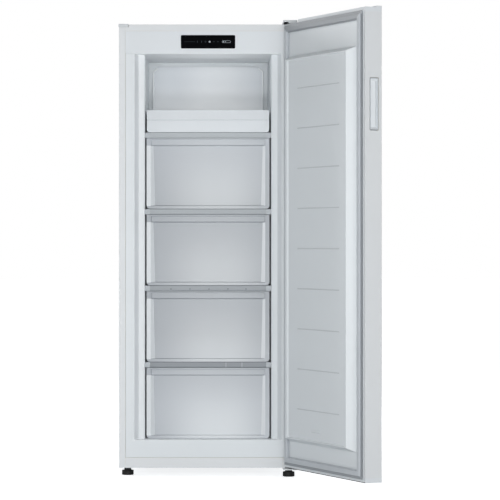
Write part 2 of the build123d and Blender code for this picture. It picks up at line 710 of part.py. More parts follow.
# ---- the cold air parts behind the duct cover ----
def duct_cover():
    low, high = STEP_TOP + 2, CEILING - DUCT_TOP_DROP
    corner = DUCT_CORNER
    outline = [
        (-DUCT_HALF, low),
        (DUCT_HALF, low),
        (DUCT_HALF, high - corner),
        (DUCT_HALF - corner, high),
        (corner - DUCT_HALF, high),
        (-DUCT_HALF, high - corner),
    ]
    inner = []
    for px, pz in outline:
        inner.append((px * (1 - DUCT_SHEET / DUCT_HALF), pz - DUCT_SHEET if pz > low else pz + DUCT_SHEET))
    front = Plane(origin=(0, DUCT_Y, 0), x_dir=(1, 0, 0), z_dir=(0, -1, 0))
    cover = extrude(front * make_face(Polyline(*outline, close=True)), -DUCT_PROUD)
    back = Plane(origin=(0, DUCT_Y + DUCT_SHEET, 0), x_dir=(1, 0, 0), z_dir=(0, -1, 0))
    cover -= extrude(back * make_face(Polyline(*inner, close=True)), -DUCT_PROUD)
    through = (DUCT_Y - 1, DUCT_Y + DUCT_SHEET + 1)
    for n in range(-3, 4):
        z = FAN_Z + n * SLOT_PITCH
        half = (FAN_R**2 - (n * SLOT_PITCH) ** 2) ** 0.5
        cover -= block(both(half), through, around(z, SLOT_HEIGHT))
    for level in LEVEL_Z[2:LEVELS]:
        for side in (-1, 1):
            for n in range(3):
                z = level - SHELF_HEIGHT - GRIP_HEIGHT - n * SLOT_PITCH
                slot_x = around(side * DUCT_HALF / 2, DUCT_HALF / 2)
                cover -= block(slot_x, through, around(z, SLOT_HEIGHT))
    ring_end = DUCT_Y + DUCT_PROUD + FAN_HUB_LENGTH
    ring = rod((0, DUCT_Y + DUCT_SHEET / 2, FAN_Z), (0, ring_end, FAN_Z), SHROUD_R + DUCT_SHEET)
    ring -= rod((0, DUCT_Y, FAN_Z), (0, DUCT_Y + POCKET_DEPTH, FAN_Z), SHROUD_R)
    return cover + ring


def fan_motor():
    body = rod((0, POCKET_Y, FAN_Z), (0, POCKET_Y - MOTOR_LENGTH, FAN_Z), MOTOR_R)
    shaft_end = POCKET_Y - MOTOR_LENGTH - FAN_HUB_LENGTH - 2
    return body + rod((0, POCKET_Y - MOTOR_LENGTH, FAN_Z), (0, shaft_end, FAN_Z), SHAFT_R)


def fan_blade():
    near = POCKET_Y - MOTOR_LENGTH - 1
    far = near - FAN_HUB_LENGTH
    wheel = rod((0, near, FAN_Z), (0, far, FAN_Z), FAN_HUB_R)
    length = FAN_R - FAN_HUB_R / 2
    for n in range(FAN_BLADES):
        blade = Rot(90 - FAN_PITCH, 0, 0) * Box(length, FAN_BLADE, FAN_CHORD)
        blade = Pos(FAN_HUB_R / 2 + length / 2, 0, 0) * blade
        wheel += Pos(0, (near + far) / 2, FAN_Z) * Rot(0, 360 / FAN_BLADES * n, 0) * blade
    reach = rod((0, near, FAN_Z), (0, far, FAN_Z), FAN_R)
    return (wheel & reach) - rod((0, near + 1, FAN_Z), (0, far - 1, FAN_Z), SHAFT_R + SHAFT_CLEARANCE)


def evaporator_pass_z():
    return [POCKET_FLOOR + EVAPORATOR_RISE + EVAPORATOR_PITCH * n for n in range(EVAPORATOR_PASSES)]


def evaporator_tube():
    points = []
    for n, z in enumerate(evaporator_pass_z()):
        side = -1 if n % 2 else 1
        points.append((-side * EVAPORATOR_HALF, EVAPORATOR_Y, z))
        points.append((side * EVAPORATOR_HALF, EVAPORATOR_Y, z))
    return pipe(points, EVAPORATOR_TUBE_R, EVAPORATOR_PITCH / 2 - 0.5)


def evaporator_fins():
    passes = evaporator_pass_z()
    z = (passes[0] - FIN_MARGIN, passes[-1] + FIN_MARGIN)
    y = (REAR_Y + 1.5, POCKET_Y - SEAM)
    span = 2 * (EVAPORATOR_HALF - EVAPORATOR_PITCH / 2 - FIN_MARGIN / 3)
    fins = []
    for n in range(FIN_COUNT):
        x = (n / (FIN_COUNT - 1) - 0.5) * span
        fin = block(around(x, FIN), y, z)
        for pass_z in passes:
            fin -= rod((x - 1, EVAPORATOR_Y, pass_z), (x + 1, EVAPORATOR_Y, pass_z), EVAPORATOR_TUBE_R)
        fins.append(fin)
    return Compound(children=fins)


def defrost_heater():
    z = evaporator_pass_z()[0] - FIN_MARGIN - HEATER_R - SEAM
    up = z + EVAPORATOR_PITCH
    x = EVAPORATOR_HALF
    points = [(-x, EVAPORATOR_Y, up), (-x, EVAPORATOR_Y, z), (x, EVAPORATOR_Y, z), (x, EVAPORATOR_Y, up)]
    shift = EVAPORATOR_TUBE_R + HEATER_R + 6
    points = [(px, py - shift if pz == up else py - shift, pz) for px, py, pz in points]
    return pipe(points, HEATER_R, 4 * HEATER_R)


def temperature_sensor():
    z = POCKET_TOP - POCKET_DEPTH
    clip = block(around(POCKET_HALF / 2, 12), (POCKET_Y - 6, POCKET_Y), around(z, 20))
    return clip + rod((POCKET_HALF / 2, POCKET_Y - 8, z - 16), (POCKET_HALF / 2, POCKET_Y - 8, z + 16), 4)


def drain_tube():
    x, y = COMPRESSOR_X, DRAIN_Y
    low = BAY_TOP - DRAIN_LENGTH_BELOW
    tube = rod((x, y, low), (x, y, POCKET_FLOOR), DRAIN_R)
    tube += rod((x, y, POCKET_FLOOR), (x, y, POCKET_FLOOR + 2), DRAIN_R + 4)
    return tube - rod((x, y, low - 1), (x, y, POCKET_FLOOR + 3), DRAIN_BORE_R)


# ---- the machine bay ----
def roller_places():
    return [side * (HALF - ROLLER_INSET) for side in (-1, 1)]


def mount_places():
    x, y = MOUNT_LENGTH / 2 - GROMMET_INSET, MOUNT_WIDTH / 2 - GROMMET_INSET
    return [(COMPRESSOR_X + sx * x, COMPRESSOR_Y + sy * y) for sx in (-1, 1) for sy in (-1, 1)]


def compressor_base():
    """The steel plate that carries the compressor, with the ears of the two rear rollers below it."""
    y = (BAY_Y + SEAM, Y_SHELL_BACK - STEEL - SEAM)
    plate = block(both(HALF - STEEL - SEAM), y, (FOOT_HEIGHT, BASE_TOP))
    roller_y = Y_BACK - ROLLER_SETBACK
    for x in roller_places():
        for side in (-1, 1):
            near = x + side * (ROLLER_WIDTH / 2 + ROLLER_SIDE_GAP)
            span = sorted((near, near + side * EAR))
            ear = block(span, around(roller_y, 2 * EAR_HALF), (ROLLER_R - EAR_HALF + EAR, BASE_TOP))
            plate += ear
        axle = rod((x - ROLLER_WIDTH, roller_y, ROLLER_R), (x + ROLLER_WIDTH, roller_y, ROLLER_R), AXLE_R)
        plate -= axle
    for x, y in mount_places():
        plate += rod((x, y, FOOT_HEIGHT), (x, y, MOUNT_Z + MOUNT_SHEET + 4), GROMMET_R / 3)
    return plate


def roller_axles():
    roller_y = Y_BACK - ROLLER_SETBACK
    reach = ROLLER_WIDTH / 2 + ROLLER_SIDE_GAP + EAR + 1.5
    axles = []
    for x in roller_places():
        axles.append(rod((x - reach, roller_y, ROLLER_R), (x + reach, roller_y, ROLLER_R), AXLE_R))
    return Compound(children=axles)


def rear_roller(side):
    x, y = roller_places()[side], Y_BACK - ROLLER_SETBACK
    start, end = (x - ROLLER_WIDTH / 2, y, ROLLER_R), (x + ROLLER_WIDTH / 2, y, ROLLER_R)
    wheel = rod(start, end, ROLLER_R)
    wheel = chamfer(wheel.edges().filter_by(GeomType.CIRCLE), 1)
    return wheel - rod(start, end, AXLE_R + AXLE_CLEARANCE)


def compressor():
    x, y = around(COMPRESSOR_X, COMPRESSOR_LENGTH), around(COMPRESSOR_Y, COMPRESSOR_WIDTH)
    shell = rounded(x, y, (COMPRESSOR_Z, COMPRESSOR_TOP), COMPRESSOR_CORNER, Axis.Z)
    ends = shell.faces().filter_by(Axis.Z)
    shell = fillet(ends.edges(), COMPRESSOR_EDGE)
    weld_z = around(COMPRESSOR_Z + COMPRESSOR_HEIGHT * 0.52, WELD_HEIGHT)
    weld = rounded(
        (x[0] - WELD_PROUD, x[1] + WELD_PROUD),
        (y[0] - WELD_PROUD, y[1] + WELD_PROUD),
        weld_z,
        COMPRESSOR_CORNER + WELD_PROUD,
        Axis.Z,
    )
    mount_x, mount_y = around(COMPRESSOR_X, MOUNT_LENGTH), around(COMPRESSOR_Y, MOUNT_WIDTH)
    mount = rounded(mount_x, mount_y, (MOUNT_Z, COMPRESSOR_Z), GROMMET_INSET, Axis.Z)
    for px, py in mount_places():
        mount -= rod((px, py, MOUNT_Z - 1), (px, py, COMPRESSOR_Z + 1), GROMMET_R / 3)
    body_x, body_y = around(COMPRESSOR_X, COMPRESSOR_LENGTH / 2), around(COMPRESSOR_Y, COMPRESSOR_WIDTH / 2)
    body = block(body_x, body_y, (MOUNT_Z, COMPRESSOR_Z + COMPRESSOR_EDGE))
    return shell + weld + mount + body


def compressor_grommets():
    rings = []
    for x, y in mount_places():
        ring = rod((x, y, BASE_TOP), (x, y, MOUNT_Z), GROMMET_R)
        rings.append(ring - rod((x, y, BASE_TOP - 1), (x, y, MOUNT_Z + 1), GROMMET_R / 3))
    return Compound(children=rings)


def terminal_cover():
    near = COMPRESSOR_X - COMPRESSOR_LENGTH / 2 - WELD_PROUD
    z = (COMPRESSOR_Z + TERMINAL_RISE, COMPRESSOR_Z + TERMINAL_RISE + TERMINAL_HEIGHT)
    return rounded((near - TERMINAL_DEPTH, near), around(COMPRESSOR_Y, TERMINAL_WIDTH), z, 5, Axis.X)


def drip_tray():
    x, y = around(COMPRESSOR_X, TRAY_PAN_LENGTH), around(COMPRESSOR_Y, TRAY_PAN_WIDTH)
    z = (COMPRESSOR_TOP + SEAM, COMPRESSOR_TOP + SEAM + TRAY_PAN_HEIGHT)
    pan = rounded(x, y, z, TRAY_PAN_CORNER, Axis.Z)
    wall = TRAY_PAN_WALL
    hollow_x, hollow_y = (x[0] + wall, x[1] - wall), (y[0] + wall, y[1] - wall)
    return pan - rounded(hollow_x, hollow_y, (z[0] + wall, z[1] + 1), TRAY_PAN_CORNER - wall, Axis.Z)


def discharge_pipe():
    near, z = COMPRESSOR_X - COMPRESSOR_LENGTH / 2, COMPRESSOR_Z + COMPRESSOR_EDGE + PIPE_R
    far, high = DRIER_INSET - HALF + 3 * DRIER_R, BAY_TOP - 3 * PIPE_BEND
    corner = (near + far) / 2
    y = COMPRESSOR_Y
    points = [(near, y, z), (corner, y, z), (corner, y, high), (far, y, high), (far, y, BAY_TOP)]
    return pipe(points, PIPE_R, PIPE_BEND)


def suction_pipe():
    near, z = COMPRESSOR_X + COMPRESSOR_LENGTH / 2, COMPRESSOR_Z + COMPRESSOR_HEIGHT / 3
    far = near + 3 * PIPE_BEND
    points = [(near, COMPRESSOR_Y, z), (far, COMPRESSOR_Y, z), (far, COMPRESSOR_Y, BAY_TOP)]
    return pipe(points, SUCTION_R, PIPE_BEND)


def filter_drier():
    x, y = DRIER_INSET - HALF, BAY_Y + DRIER_R + SEAM
    low = BAY_TOP - BAY_HEIGHT / 2 - DRIER_LENGTH / 2
    can = rod((x, y, low), (x, y, low + DRIER_LENGTH), DRIER_R)
    can = fillet(can.edges().filter_by(GeomType.CIRCLE), DRIER_R / 2)
    return can + rod((x, y, low + DRIER_LENGTH - 1), (x, y, BAY_TOP), PIPE_R)


# ---- the hinges ----
def top_hinge_bracket():
    x = around(PIVOT_X, 2 * BRACKET_HALF)
    y = (PIVOT_Y - BRACKET_HALF, Y_FRONT + BRACKET_REACH)
    plate = rounded(x, y, (TOP_Z, TOP_Z + BRACKET), BRACKET_HALF * 0.6, Axis.Z)
    plate -= rod((PIVOT_X, PIVOT_Y, TOP_Z - 1), (PIVOT_X, PIVOT_Y, TOP_Z + BRACKET + 1), TOP_PIN_R)
    for px, py in hinge_screw_places():
        plate -= rod((px, py, TOP_Z - 1), (px, py, TOP_Z + BRACKET + 1), SCREW_R)
    return plate


def low_leg_space(clearance):
    """The bracket's upright leg, let into the front of the kick plate."""
    x = around(PIVOT_X - BRACKET_HALF / 2, 3 * BRACKET_HALF + 2 * clearance)
    x = (x[0], min(x[1], FACE_HALF - 2 * SEAM + clearance))
    y = (Y_FRONT, Y_FRONT + BRACKET + clearance)
    return x, y, (FOOT_HEIGHT, FOOT_HEIGHT + LOW_LEG_HEIGHT + clearance)


def lower_hinge_bracket():
    x = (PIVOT_X - 2 * BRACKET_HALF, PIVOT_X + BRACKET_HALF)
    y = (PIVOT_Y - BRACKET_HALF, Y_FRONT + BRACKET_REACH)
    z = (FOOT_HEIGHT - LOW_BRACKET, FOOT_HEIGHT)
    bracket = rounded(x, y, z, BRACKET_HALF * 0.6, Axis.Z) + block(*low_leg_space(0))
    bracket -= rod((PIVOT_X, PIVOT_Y, 0), (PIVOT_X, PIVOT_Y, FOOT_HEIGHT + 1), LOW_PIN_R)
    px, py = RIGHT_FOOT
    bracket -= rod((px, py, 0), (px, py, FOOT_HEIGHT + 1), FOOT_STEM_R + PIN_CLEARANCE)
    for px, py in hinge_screw_places():
        bracket -= rod((px, py, 0), (px, py, FOOT_HEIGHT + 1), SCREW_R)
    return bracket


def hinge_pins():
    """The two pins that the door turns on, each riveted into its bracket."""
    top_z = TOP_Z + BRACKET
    top = rod((PIVOT_X, PIVOT_Y, TOP_Z - TOP_PIN_LENGTH), (PIVOT_X, PIVOT_Y, top_z), TOP_PIN_R)
    low_z = FOOT_HEIGHT - LOW_BRACKET
    low = rod((PIVOT_X, PIVOT_Y, low_z), (PIVOT_X, PIVOT_Y, FOOT_HEIGHT + LOW_PIN_LENGTH), LOW_PIN_R)
    return Compound(children=[top, low])


def hexagon(x, y, low, high, radius):
    return extrude(Pos(x, y, low) * RegularPolygon(radius, 6), high - low)


def hinge_screws():
    screws = []
    for x, y in hinge_screw_places():
        top = TOP_Z + BRACKET
        shank = rod((x, y, top - SCREW_LENGTH), (x, y, top), SCREW_R)
        screws.append(shank + hexagon(x, y, top, top + SCREW_HEAD, SCREW_HEAD_R))
        under = FOOT_HEIGHT - LOW_BRACKET
        shank = rod((x, y, under), (x, y, under + SCREW_LENGTH), SCREW_R)
        screws.append(shank + hexagon(x, y, under - SCREW_HEAD, under, SCREW_HEAD_R))
    return Compound(children=screws)


def hinge_cover():
    x = (PIVOT_X - 2 * HINGE_COVER_MARGIN, PIVOT_X + HINGE_COVER_MARGIN + HINGE_COVER_WALL + SEAM)
    y = (PIVOT_Y - BRACKET_HALF - HINGE_COVER_WALL - SEAM, Y_FRONT + BRACKET_REACH + 10)
    z = (TOP_Z, TOP_Z + HINGE_COVER_HEIGHT)
    cover = rounded(x, y, z, HINGE_COVER_CORNER, Axis.Z)
    cover = chamfer(cover.faces().sort_by(Axis.Z)[-1].edges(), 1.2)
    wall = HINGE_COVER_WALL
    hollow_x, hollow_y = (x[0] + wall, x[1] - wall), (y[0] + wall, y[1] - wall)
    cover -= rounded(hollow_x, hollow_y, (z[0] - 1, z[1] - wall), HINGE_COVER_CORNER - wall, Axis.Z)
    notch = (x[0] + wall, x[0] + wall + COVER_NOTCH_WIDTH)
    return cover - block(notch, (y[0] - 1, y[0] + 2 * wall), (z[0] - 1, z[0] + COVER_NOTCH_HEIGHT))


# ---- the door, drawn shut ----
def door_span(u, t, z):
    """Spans for block(): u from the hinge edge, t outwards from the inner face."""
    x = (HALF - u[1], HALF - u[0])
    y = (DOOR_INNER_Y - t[1], DOOR_INNER_Y - t[0])
    return x, y, z


def swing(shape):
    return shape.rotate(Axis((PIVOT_X, PIVOT_Y, 0), (0, 0, 1)), DOOR_ANGLE)


def door_pin_hole(radius, low, high):
    return rod((PIVOT_X, PIVOT_Y, low), (PIVOT_X, PIVOT_Y, high), radius)


def handle_spans(grow):
    u = (WIDTH - HANDLE_DEEP - grow, WIDTH + 1)
    t = (HANDLE_SETBACK - grow, HANDLE_SETBACK + HANDLE_WIDTH + grow)
    z = (HANDLE_Z - grow, HANDLE_Z + HANDLE_HEIGHT + grow)
    return door_span(u, t, z)


def handle_block(grow):
    return rounded(*handle_spans(grow), HANDLE_CORNER + grow, Axis.X)


def door_core(inset, z):
    """The door's plain block, taken in all round, with its two front edges rounded."""
    core = block(*door_span((inset, WIDTH - inset), (inset, DOOR_THICKNESS - inset), z))
    return fillet(core.edges().filter_by(Axis.Z).group_by(Axis.Y)[0], CAP_CORNER - inset)


def door_outer_panel():
    skin = door_core(0, (DOOR_BOTTOM + CAP_HEIGHT, DOOR_TOP - CAP_HEIGHT))
    tall = (0, 2 * TOP_Z)
    skin -= door_core(STEEL, tall)
    skin -= block(*door_span((DOOR_RETURN, WIDTH - DOOR_RETURN), (-1, 2 * STEEL), tall))
    return swing(skin - handle_block(0))


def pad_prism(inset, start, end):
    """The pad's tapered block from one distance off the inner face to another."""
    width = WIDTH - 2 * (PAD_SIDE + inset)
    low, high = DOOR_BOTTOM + PAD_BOTTOM + inset, DOOR_TOP - PAD_TOP - inset
    plane = Plane(
        origin=(0, DOOR_INNER_Y + start, (low + high) / 2),
        x_dir=(1, 0, 0),
        z_dir=(0, 1, 0),
    )
    slope = degrees(atan2(PAD_SLOPE, PAD_RISE - LINER))
    outline = plane * Rectangle(width, high - low)
    return extrude(outline, end - start, taper=slope)


def pad_sink(grow):
    """The sunk middle of the pad's crest; grow widens and deepens it."""
    inset = PAD_SIDE + PAD_SLOPE + PAD_RIDGE - grow
    width = WIDTH - 2 * inset
    rise = PAD_SLOPE + PAD_RIDGE - grow
    low, high = DOOR_BOTTOM + PAD_BOTTOM + rise, DOOR_TOP - PAD_TOP - rise
    plane = Plane(
        origin=(0, DOOR_INNER_Y + PAD_RISE, (low + high) / 2),
        x_dir=(1, 0, 0),
        z_dir=(0, -1, 0),
    )
    slope = degrees(atan2(PAD_SINK_SLOPE, PAD_SINK))
    return extrude(plane * Rectangle(width, high - low), PAD_SINK + grow, taper=slope)


def pad_line_z():
    first = DOOR_TOP - PAD_TOP - PAD_LINE_FIRST
    return [first - PAD_LINE_PITCH * n for n in range(PAD_LINES)]


def door_liner():
    inset = GASKET_INSET - SEAM
    z = (DOOR_BOTTOM + inset, DOOR_TOP - inset)
    sheet = block(*door_span((inset, WIDTH - inset), (-LINER, 0), z))
    shell = sheet + pad_prism(0, LINER, PAD_RISE) - pad_prism(LINER, -1, PAD_RISE - LINER - PAD_SINK)
    shell -= pad_sink(0)
    face = PAD_RISE - PAD_SINK
    for line_z in pad_line_z():
        u = (PAD_LINE_INSET + PAD_SIDE, WIDTH - PAD_LINE_INSET - PAD_SIDE / 2)
        shell -= block(*door_span(u, (-face - 1, PAD_LINE_DEEP - face), around(line_z, PAD_LINE_WIDTH)))
    return swing(shell)


def door_foam():
    foam = door_core(STEEL, (DOOR_BOTTOM + CAP_HEIGHT, DOOR_TOP - CAP_HEIGHT))
    foam += pad_prism(LINER, -2 * STEEL, PAD_RISE - LINER - PAD_SINK)
    foam -= handle_block(0)
    bush_r = TOP_PIN_R + PIN_CLEARANCE + BUSH_WALL
    foam -= door_pin_hole(bush_r, HINGE_RECESS_Z - BUSH_LENGTH, DOOR_TOP)
    foam -= door_pin_hole(bush_r, DOOR_BOTTOM, DOOR_BOTTOM + BUSH_LENGTH)
    return swing(foam)


def ring(inset, width, start, end, radius):
    """A closed frame round the door, some way in from its edges."""
    t = (-end, -start)
    outer_z = (DOOR_BOTTOM + inset, DOOR_TOP - inset)
    outer = rounded(*door_span((inset, WIDTH - inset), t, outer_z), radius, Axis.Y)
    inset += width
    inner_z = (DOOR_BOTTOM + inset, DOOR_TOP - inset)
    inner = door_span((inset, WIDTH - inset), (-end - 1, 1 - start), inner_z)
    return outer - rounded(*inner, radius / 2, Axis.Y)


def door_gasket():
    base_end = LINER + GASKET_BASE
    seal = ring(GASKET_INSET, GASKET_WIDTH, LINER, base_end, 6)
    bulb = ring(BULB_INSET, BULB_WIDTH, base_end, DOOR_GAP - SEAL_GAP, 6)
    return swing(seal + bulb)


def door_top_cap():
    z = (DOOR_TOP - CAP_HEIGHT, DOOR_TOP)
    cap = block(*door_span((0, WIDTH), (0, DOOR_THICKNESS), z))
    lip_t = (DOOR_THICKNESS - CAP_LIP_DEPTH, DOOR_THICKNESS)
    cap += block(*door_span((0, WIDTH), lip_t, (DOOR_TOP, DOOR_TOP + CAP_LIP_RISE)))
    cap = fillet(cap.edges().filter_by(Axis.Z).group_by(Axis.Y)[0], CAP_CORNER)
    recess_u, recess_t = (-CAP_HEIGHT, HINGE_RECESS_LENGTH), (-1, DOOR_THICKNESS + 1)
    recess = door_span(recess_u, recess_t, (HINGE_RECESS_Z, TOP_Z * 2))
    cap -= rounded(*recess, 2, Axis.Y)
    return swing(cap - door_pin_hole(TOP_PIN_R + PIN_CLEARANCE + BUSH_WALL, 0, 2 * TOP_Z))


def door_bottom_cap():
    cap = door_core(0, (DOOR_BOTTOM, DOOR_BOTTOM + CAP_HEIGHT))
    return swing(cap - door_pin_hole(TOP_PIN_R + PIN_CLEARANCE + BUSH_WALL, 0, 2 * TOP_Z))


def hinge_bushes():
    """The two flanged bushes in the door's end caps."""
    outer = TOP_PIN_R + PIN_CLEARANCE + BUSH_WALL
    top = door_pin_hole(outer, HINGE_RECESS_Z - BUSH_LENGTH, HINGE_RECESS_Z)
    top += door_pin_hole(BUSH_FLANGE_R, HINGE_RECESS_Z, TOP_Z - GLIDE_GAP)
    top -= door_pin_hole(TOP_PIN_R + PIN_CLEARANCE, 0, 2 * TOP_Z)
    low = door_pin_hole(outer, DOOR_BOTTOM, DOOR_BOTTOM + BUSH_LENGTH)
    low += door_pin_hole(BUSH_FLANGE_R, FOOT_HEIGHT + GLIDE_GAP, DOOR_BOTTOM)
    low -= door_pin_hole(LOW_PIN_R + PIN_CLEARANCE, 0, TOP_Z / 2)
    return Compound(children=[swing(top), swing(low)])


def door_handle_insert():
    cup = handle_block(0)
    u = (WIDTH - HANDLE_DEEP + HANDLE_WALL, WIDTH + 2)
    t = (HANDLE_SETBACK + HANDLE_WALL, HANDLE_SETBACK + HANDLE_WIDTH - HANDLE_WALL)
    low = HANDLE_Z + HANDLE_WALL
    z = (low, low + HANDLE_HEIGHT - 2 * HANDLE_WALL)
    cup -= rounded(*door_span(u, t, z), HANDLE_CORNER - HANDLE_WALL / 2, Axis.X)
    x, y, z = door_span((0, WIDTH), (0, DOOR_THICKNESS), (0, TOP_Z))
    return swing(cup & block(x, y, z))


# ---- the front feet ----
def foot(place, neck_top, stem_top):
    x, y = place
    pad = rod((x, y, 0), (x, y, FOOT_PAD), FOOT_R)
    pad = chamfer(pad.edges().filter_by(GeomType.CIRCLE), FOOT_CHAMFER)
    neck = rod((x, y, FOOT_PAD), (x, y, neck_top), FOOT_NECK_R)
    return pad + neck + rod((x, y, neck_top), (x, y, stem_top), FOOT_STEM_R)


def left_front_foot():
    return foot(LEFT_FOOT, FOOT_HEIGHT - GLIDE_GAP, FOOT_HEIGHT + BOSS_HEIGHT - 2)


def right_front_foot():
    return foot(RIGHT_FOOT, FOOT_HEIGHT - LOW_BRACKET - GLIDE_GAP, FOOT_HEIGHT)


# ---- every piece under its own name ----
PIECES = {
    "left_side_panel": lambda: side_panel(-1),
    "right_side_panel": lambda: side_panel(1),
    "top_panel": top_panel,
    "corner_cap": corner_cap,
    "back_panel": back_panel,
    "rear_screws": rear_screws,
    "foam_insulation": foam_insulation,
    "inner_liner": inner_liner,
    "kick_plate": kick_plate,
    "bottom_sheet": bottom_sheet,
    "machine_cover": machine_cover,
    "power_inlet": power_inlet,
    "control_fascia": control_fascia,
    "display_window": display_window,
    "control_board": control_board,
    "glass_shelves": glass_shelves,
    "shelf_trims": shelf_trims,
    "top_tray": top_tray,
    "duct_cover": duct_cover,
    "fan_motor": fan_motor,
    "fan_blade": fan_blade,
    "evaporator_tube": evaporator_tube,
    "evaporator_fins": evaporator_fins,
    "defrost_heater": defrost_heater,
    "temperature_sensor": temperature_sensor,
    "drain_tube": drain_tube,
    "compressor_base": compressor_base,
    "roller_axles": roller_axles,
    "left_rear_roller": lambda: rear_roller(0),
    "right_rear_roller": lambda: rear_roller(1),
    "compressor": compressor,
    "compressor_grommets": compressor_grommets,
    "terminal_cover": terminal_cover,
    "drip_tray": drip_tray,
    "discharge_pipe": discharge_pipe,
    "suction_pipe": suction_pipe,
    "filter_drier": filter_drier,
    "top_hinge_bracket": top_hinge_bracket,
    "lower_hinge_bracket": lower_hinge_bracket,
    "hinge_pins": hinge_pins,
    "hinge_screws": hinge_screws,
    "hinge_cover": hinge_cover,
    "door_outer_panel": door_outer_panel,
    "door_liner": door_liner,
    "door_foam": door_foam,
    "door_gasket": door_gasket,
    "door_top_cap": door_top_cap,
    "door_bottom_cap": door_bottom_cap,
    "door_handle_insert": door_handle_insert,
    "hinge_bushes": hinge_bushes,
    "left_front_foot": left_front_foot,
    "right_front_foot": right_front_foot,
}

os.makedirs("parts", exist_ok=True)
for name, make in PIECES.items():
    export_step(make(), f"parts/{name}.step")
for number in range(1, LEVELS + 1):
    export_step(drawer_front(number), f"parts/drawer_{number}_front.step")
    export_step(drawer_basket(number), f"parts/drawer_{number}_basket.step")
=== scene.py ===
# %% [markdown]
# # An upright freezer with its door open
#
# The measured model is loaded first. It fixes every size and place, in metres, with the floor at z = 0,
# the back towards +Y and the door's hinge on the right. The cells below dress it: each visible piece is
# modelled over its plain solid, and every surface gets a finish named for its real material.

# %% Load the measured model
import json
import math

import bpy
from mathutils import Matrix, Vector


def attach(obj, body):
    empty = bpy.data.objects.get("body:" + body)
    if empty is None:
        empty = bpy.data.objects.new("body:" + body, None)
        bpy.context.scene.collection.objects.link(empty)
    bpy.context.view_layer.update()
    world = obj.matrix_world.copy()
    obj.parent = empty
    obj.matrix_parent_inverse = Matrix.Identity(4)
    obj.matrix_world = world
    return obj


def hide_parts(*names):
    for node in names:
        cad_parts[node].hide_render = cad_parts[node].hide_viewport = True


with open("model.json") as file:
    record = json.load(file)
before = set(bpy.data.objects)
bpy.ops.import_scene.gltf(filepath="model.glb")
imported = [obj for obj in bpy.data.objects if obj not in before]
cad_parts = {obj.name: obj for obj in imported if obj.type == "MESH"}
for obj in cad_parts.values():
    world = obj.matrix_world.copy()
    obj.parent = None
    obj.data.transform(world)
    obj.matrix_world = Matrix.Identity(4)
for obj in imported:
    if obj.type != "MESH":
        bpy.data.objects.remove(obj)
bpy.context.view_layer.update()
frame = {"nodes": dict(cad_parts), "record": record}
NODES = frame["nodes"]
BODY_OF = {node: body for body, nodes in frame["record"]["behaviour"]["bodies"].items() for node in nodes}
SLOT_OF = {entry["node"]: entry["material_slot"] for entry in frame["record"]["subparts"]}
print("loaded", len(NODES), "nodes")

# %% [markdown]
# ## The camera
#
# A product photograph of something tall is taken from far away with a long lens, held level so that the
# sides stay upright. The lens shift does what cropping did in the photograph: it moves the frame without
# turning the camera.

# %% Set the camera
bpy.ops.object.camera_add(location=(0.003, -8.0125, 0.725), rotation=(math.pi / 2, 0, 0))
camera = bpy.context.object
camera.data.lens = 180
camera.data.sensor_width = 36
camera.data.shift_x = 0.082
camera.data.shift_y = -0.016
camera.data.clip_end = 60
bpy.context.scene.camera = camera
bpy.context.scene.view_settings.view_transform = "Standard"
print("camera", tuple(camera.location), camera.data.lens, "mm")

# %% [markdown]
# ## Colour and node helpers
#
# A colour picker shows sRGB values, but shaders work in linear light, so one function converts them. The
# second function adds a shader node, sets its properties and fills or links its inputs.


# %% Colour and node helpers
def linear(code):
    """A hex colour such as D3D8DB as linear RGBA."""
    parts = [int(code[n : n + 2], 16) / 255 for n in (0, 2, 4)]
    return [c / 12.92 if c <= 0.04045 else ((c + 0.055) / 1.055) ** 2.4 for c in parts] + [1]


def add(tree, kind, inputs=None, **settings):
    """One node: its settings by name, and its inputs by name or number, as values or as links."""
    made = tree.nodes.new(kind)
    for name, value in settings.items():
        setattr(made, name, value)
    for name, value in (inputs or {}).items():
        if isinstance(value, bpy.types.NodeSocket):
            tree.links.new(value, made.inputs[name])
        else:
            made.inputs[name].default_value = value
    return made


# %% [markdown]
# ## The studio
#
# The photograph has a white cyclorama and soft, even light from in front. Two lamps near the camera light
# the front and reach into the cabinet, one on the left lights the door's inside, and one on the right the
# left edge of the mouth. Three more behind and above only serve views from the back and the sides, and a
# faint one in the mouth lifts the ceiling, as light that comes back from inside does. The floor and the
# world show as white to the camera, and the floor still takes the feet's shadow.

# %% World, lamps and floor
world = bpy.data.worlds.new("white studio")
bpy.context.scene.world = world
world.use_nodes = True
tree = world.node_tree
tree.nodes.clear()
path = add(tree, "ShaderNodeLightPath")
direct, mirrored = path.outputs["Is Camera Ray"], path.outputs["Is Glossy Ray"]
through = path.outputs["Is Transmission Ray"]
seen = add(tree, "ShaderNodeMath", {0: direct, 1: mirrored}, operation="MAXIMUM")
seen = add(tree, "ShaderNodeMath", {0: seen.outputs[0], 1: through}, operation="MAXIMUM")
ambient = add(tree, "ShaderNodeBackground", {"Color": linear("F6F8FA"), "Strength": 0.22})
backdrop = add(tree, "ShaderNodeBackground", {"Color": (1, 1, 1, 1), "Strength": 1.0})
mixed = add(tree, "ShaderNodeMixShader", {0: seen.outputs[0], 1: ambient.outputs[0], 2: backdrop.outputs[0]})
add(tree, "ShaderNodeOutputWorld", {0: mixed.outputs[0]})


def softbox(name, place, target, width, height, power):
    """A rectangular area lamp that looks at a point."""
    turn = (Vector(target) - Vector(place)).to_track_quat("-Z", "Y").to_euler()
    bpy.ops.object.light_add(type="AREA", location=place, rotation=turn)
    lamp = bpy.context.object
    lamp.name = name
    lamp.data.shape = "RECTANGLE"
    lamp.data.size = width
    lamp.data.size_y = height
    lamp.data.energy = power
    lamp.data.color = (1.0, 1.0, 1.0)


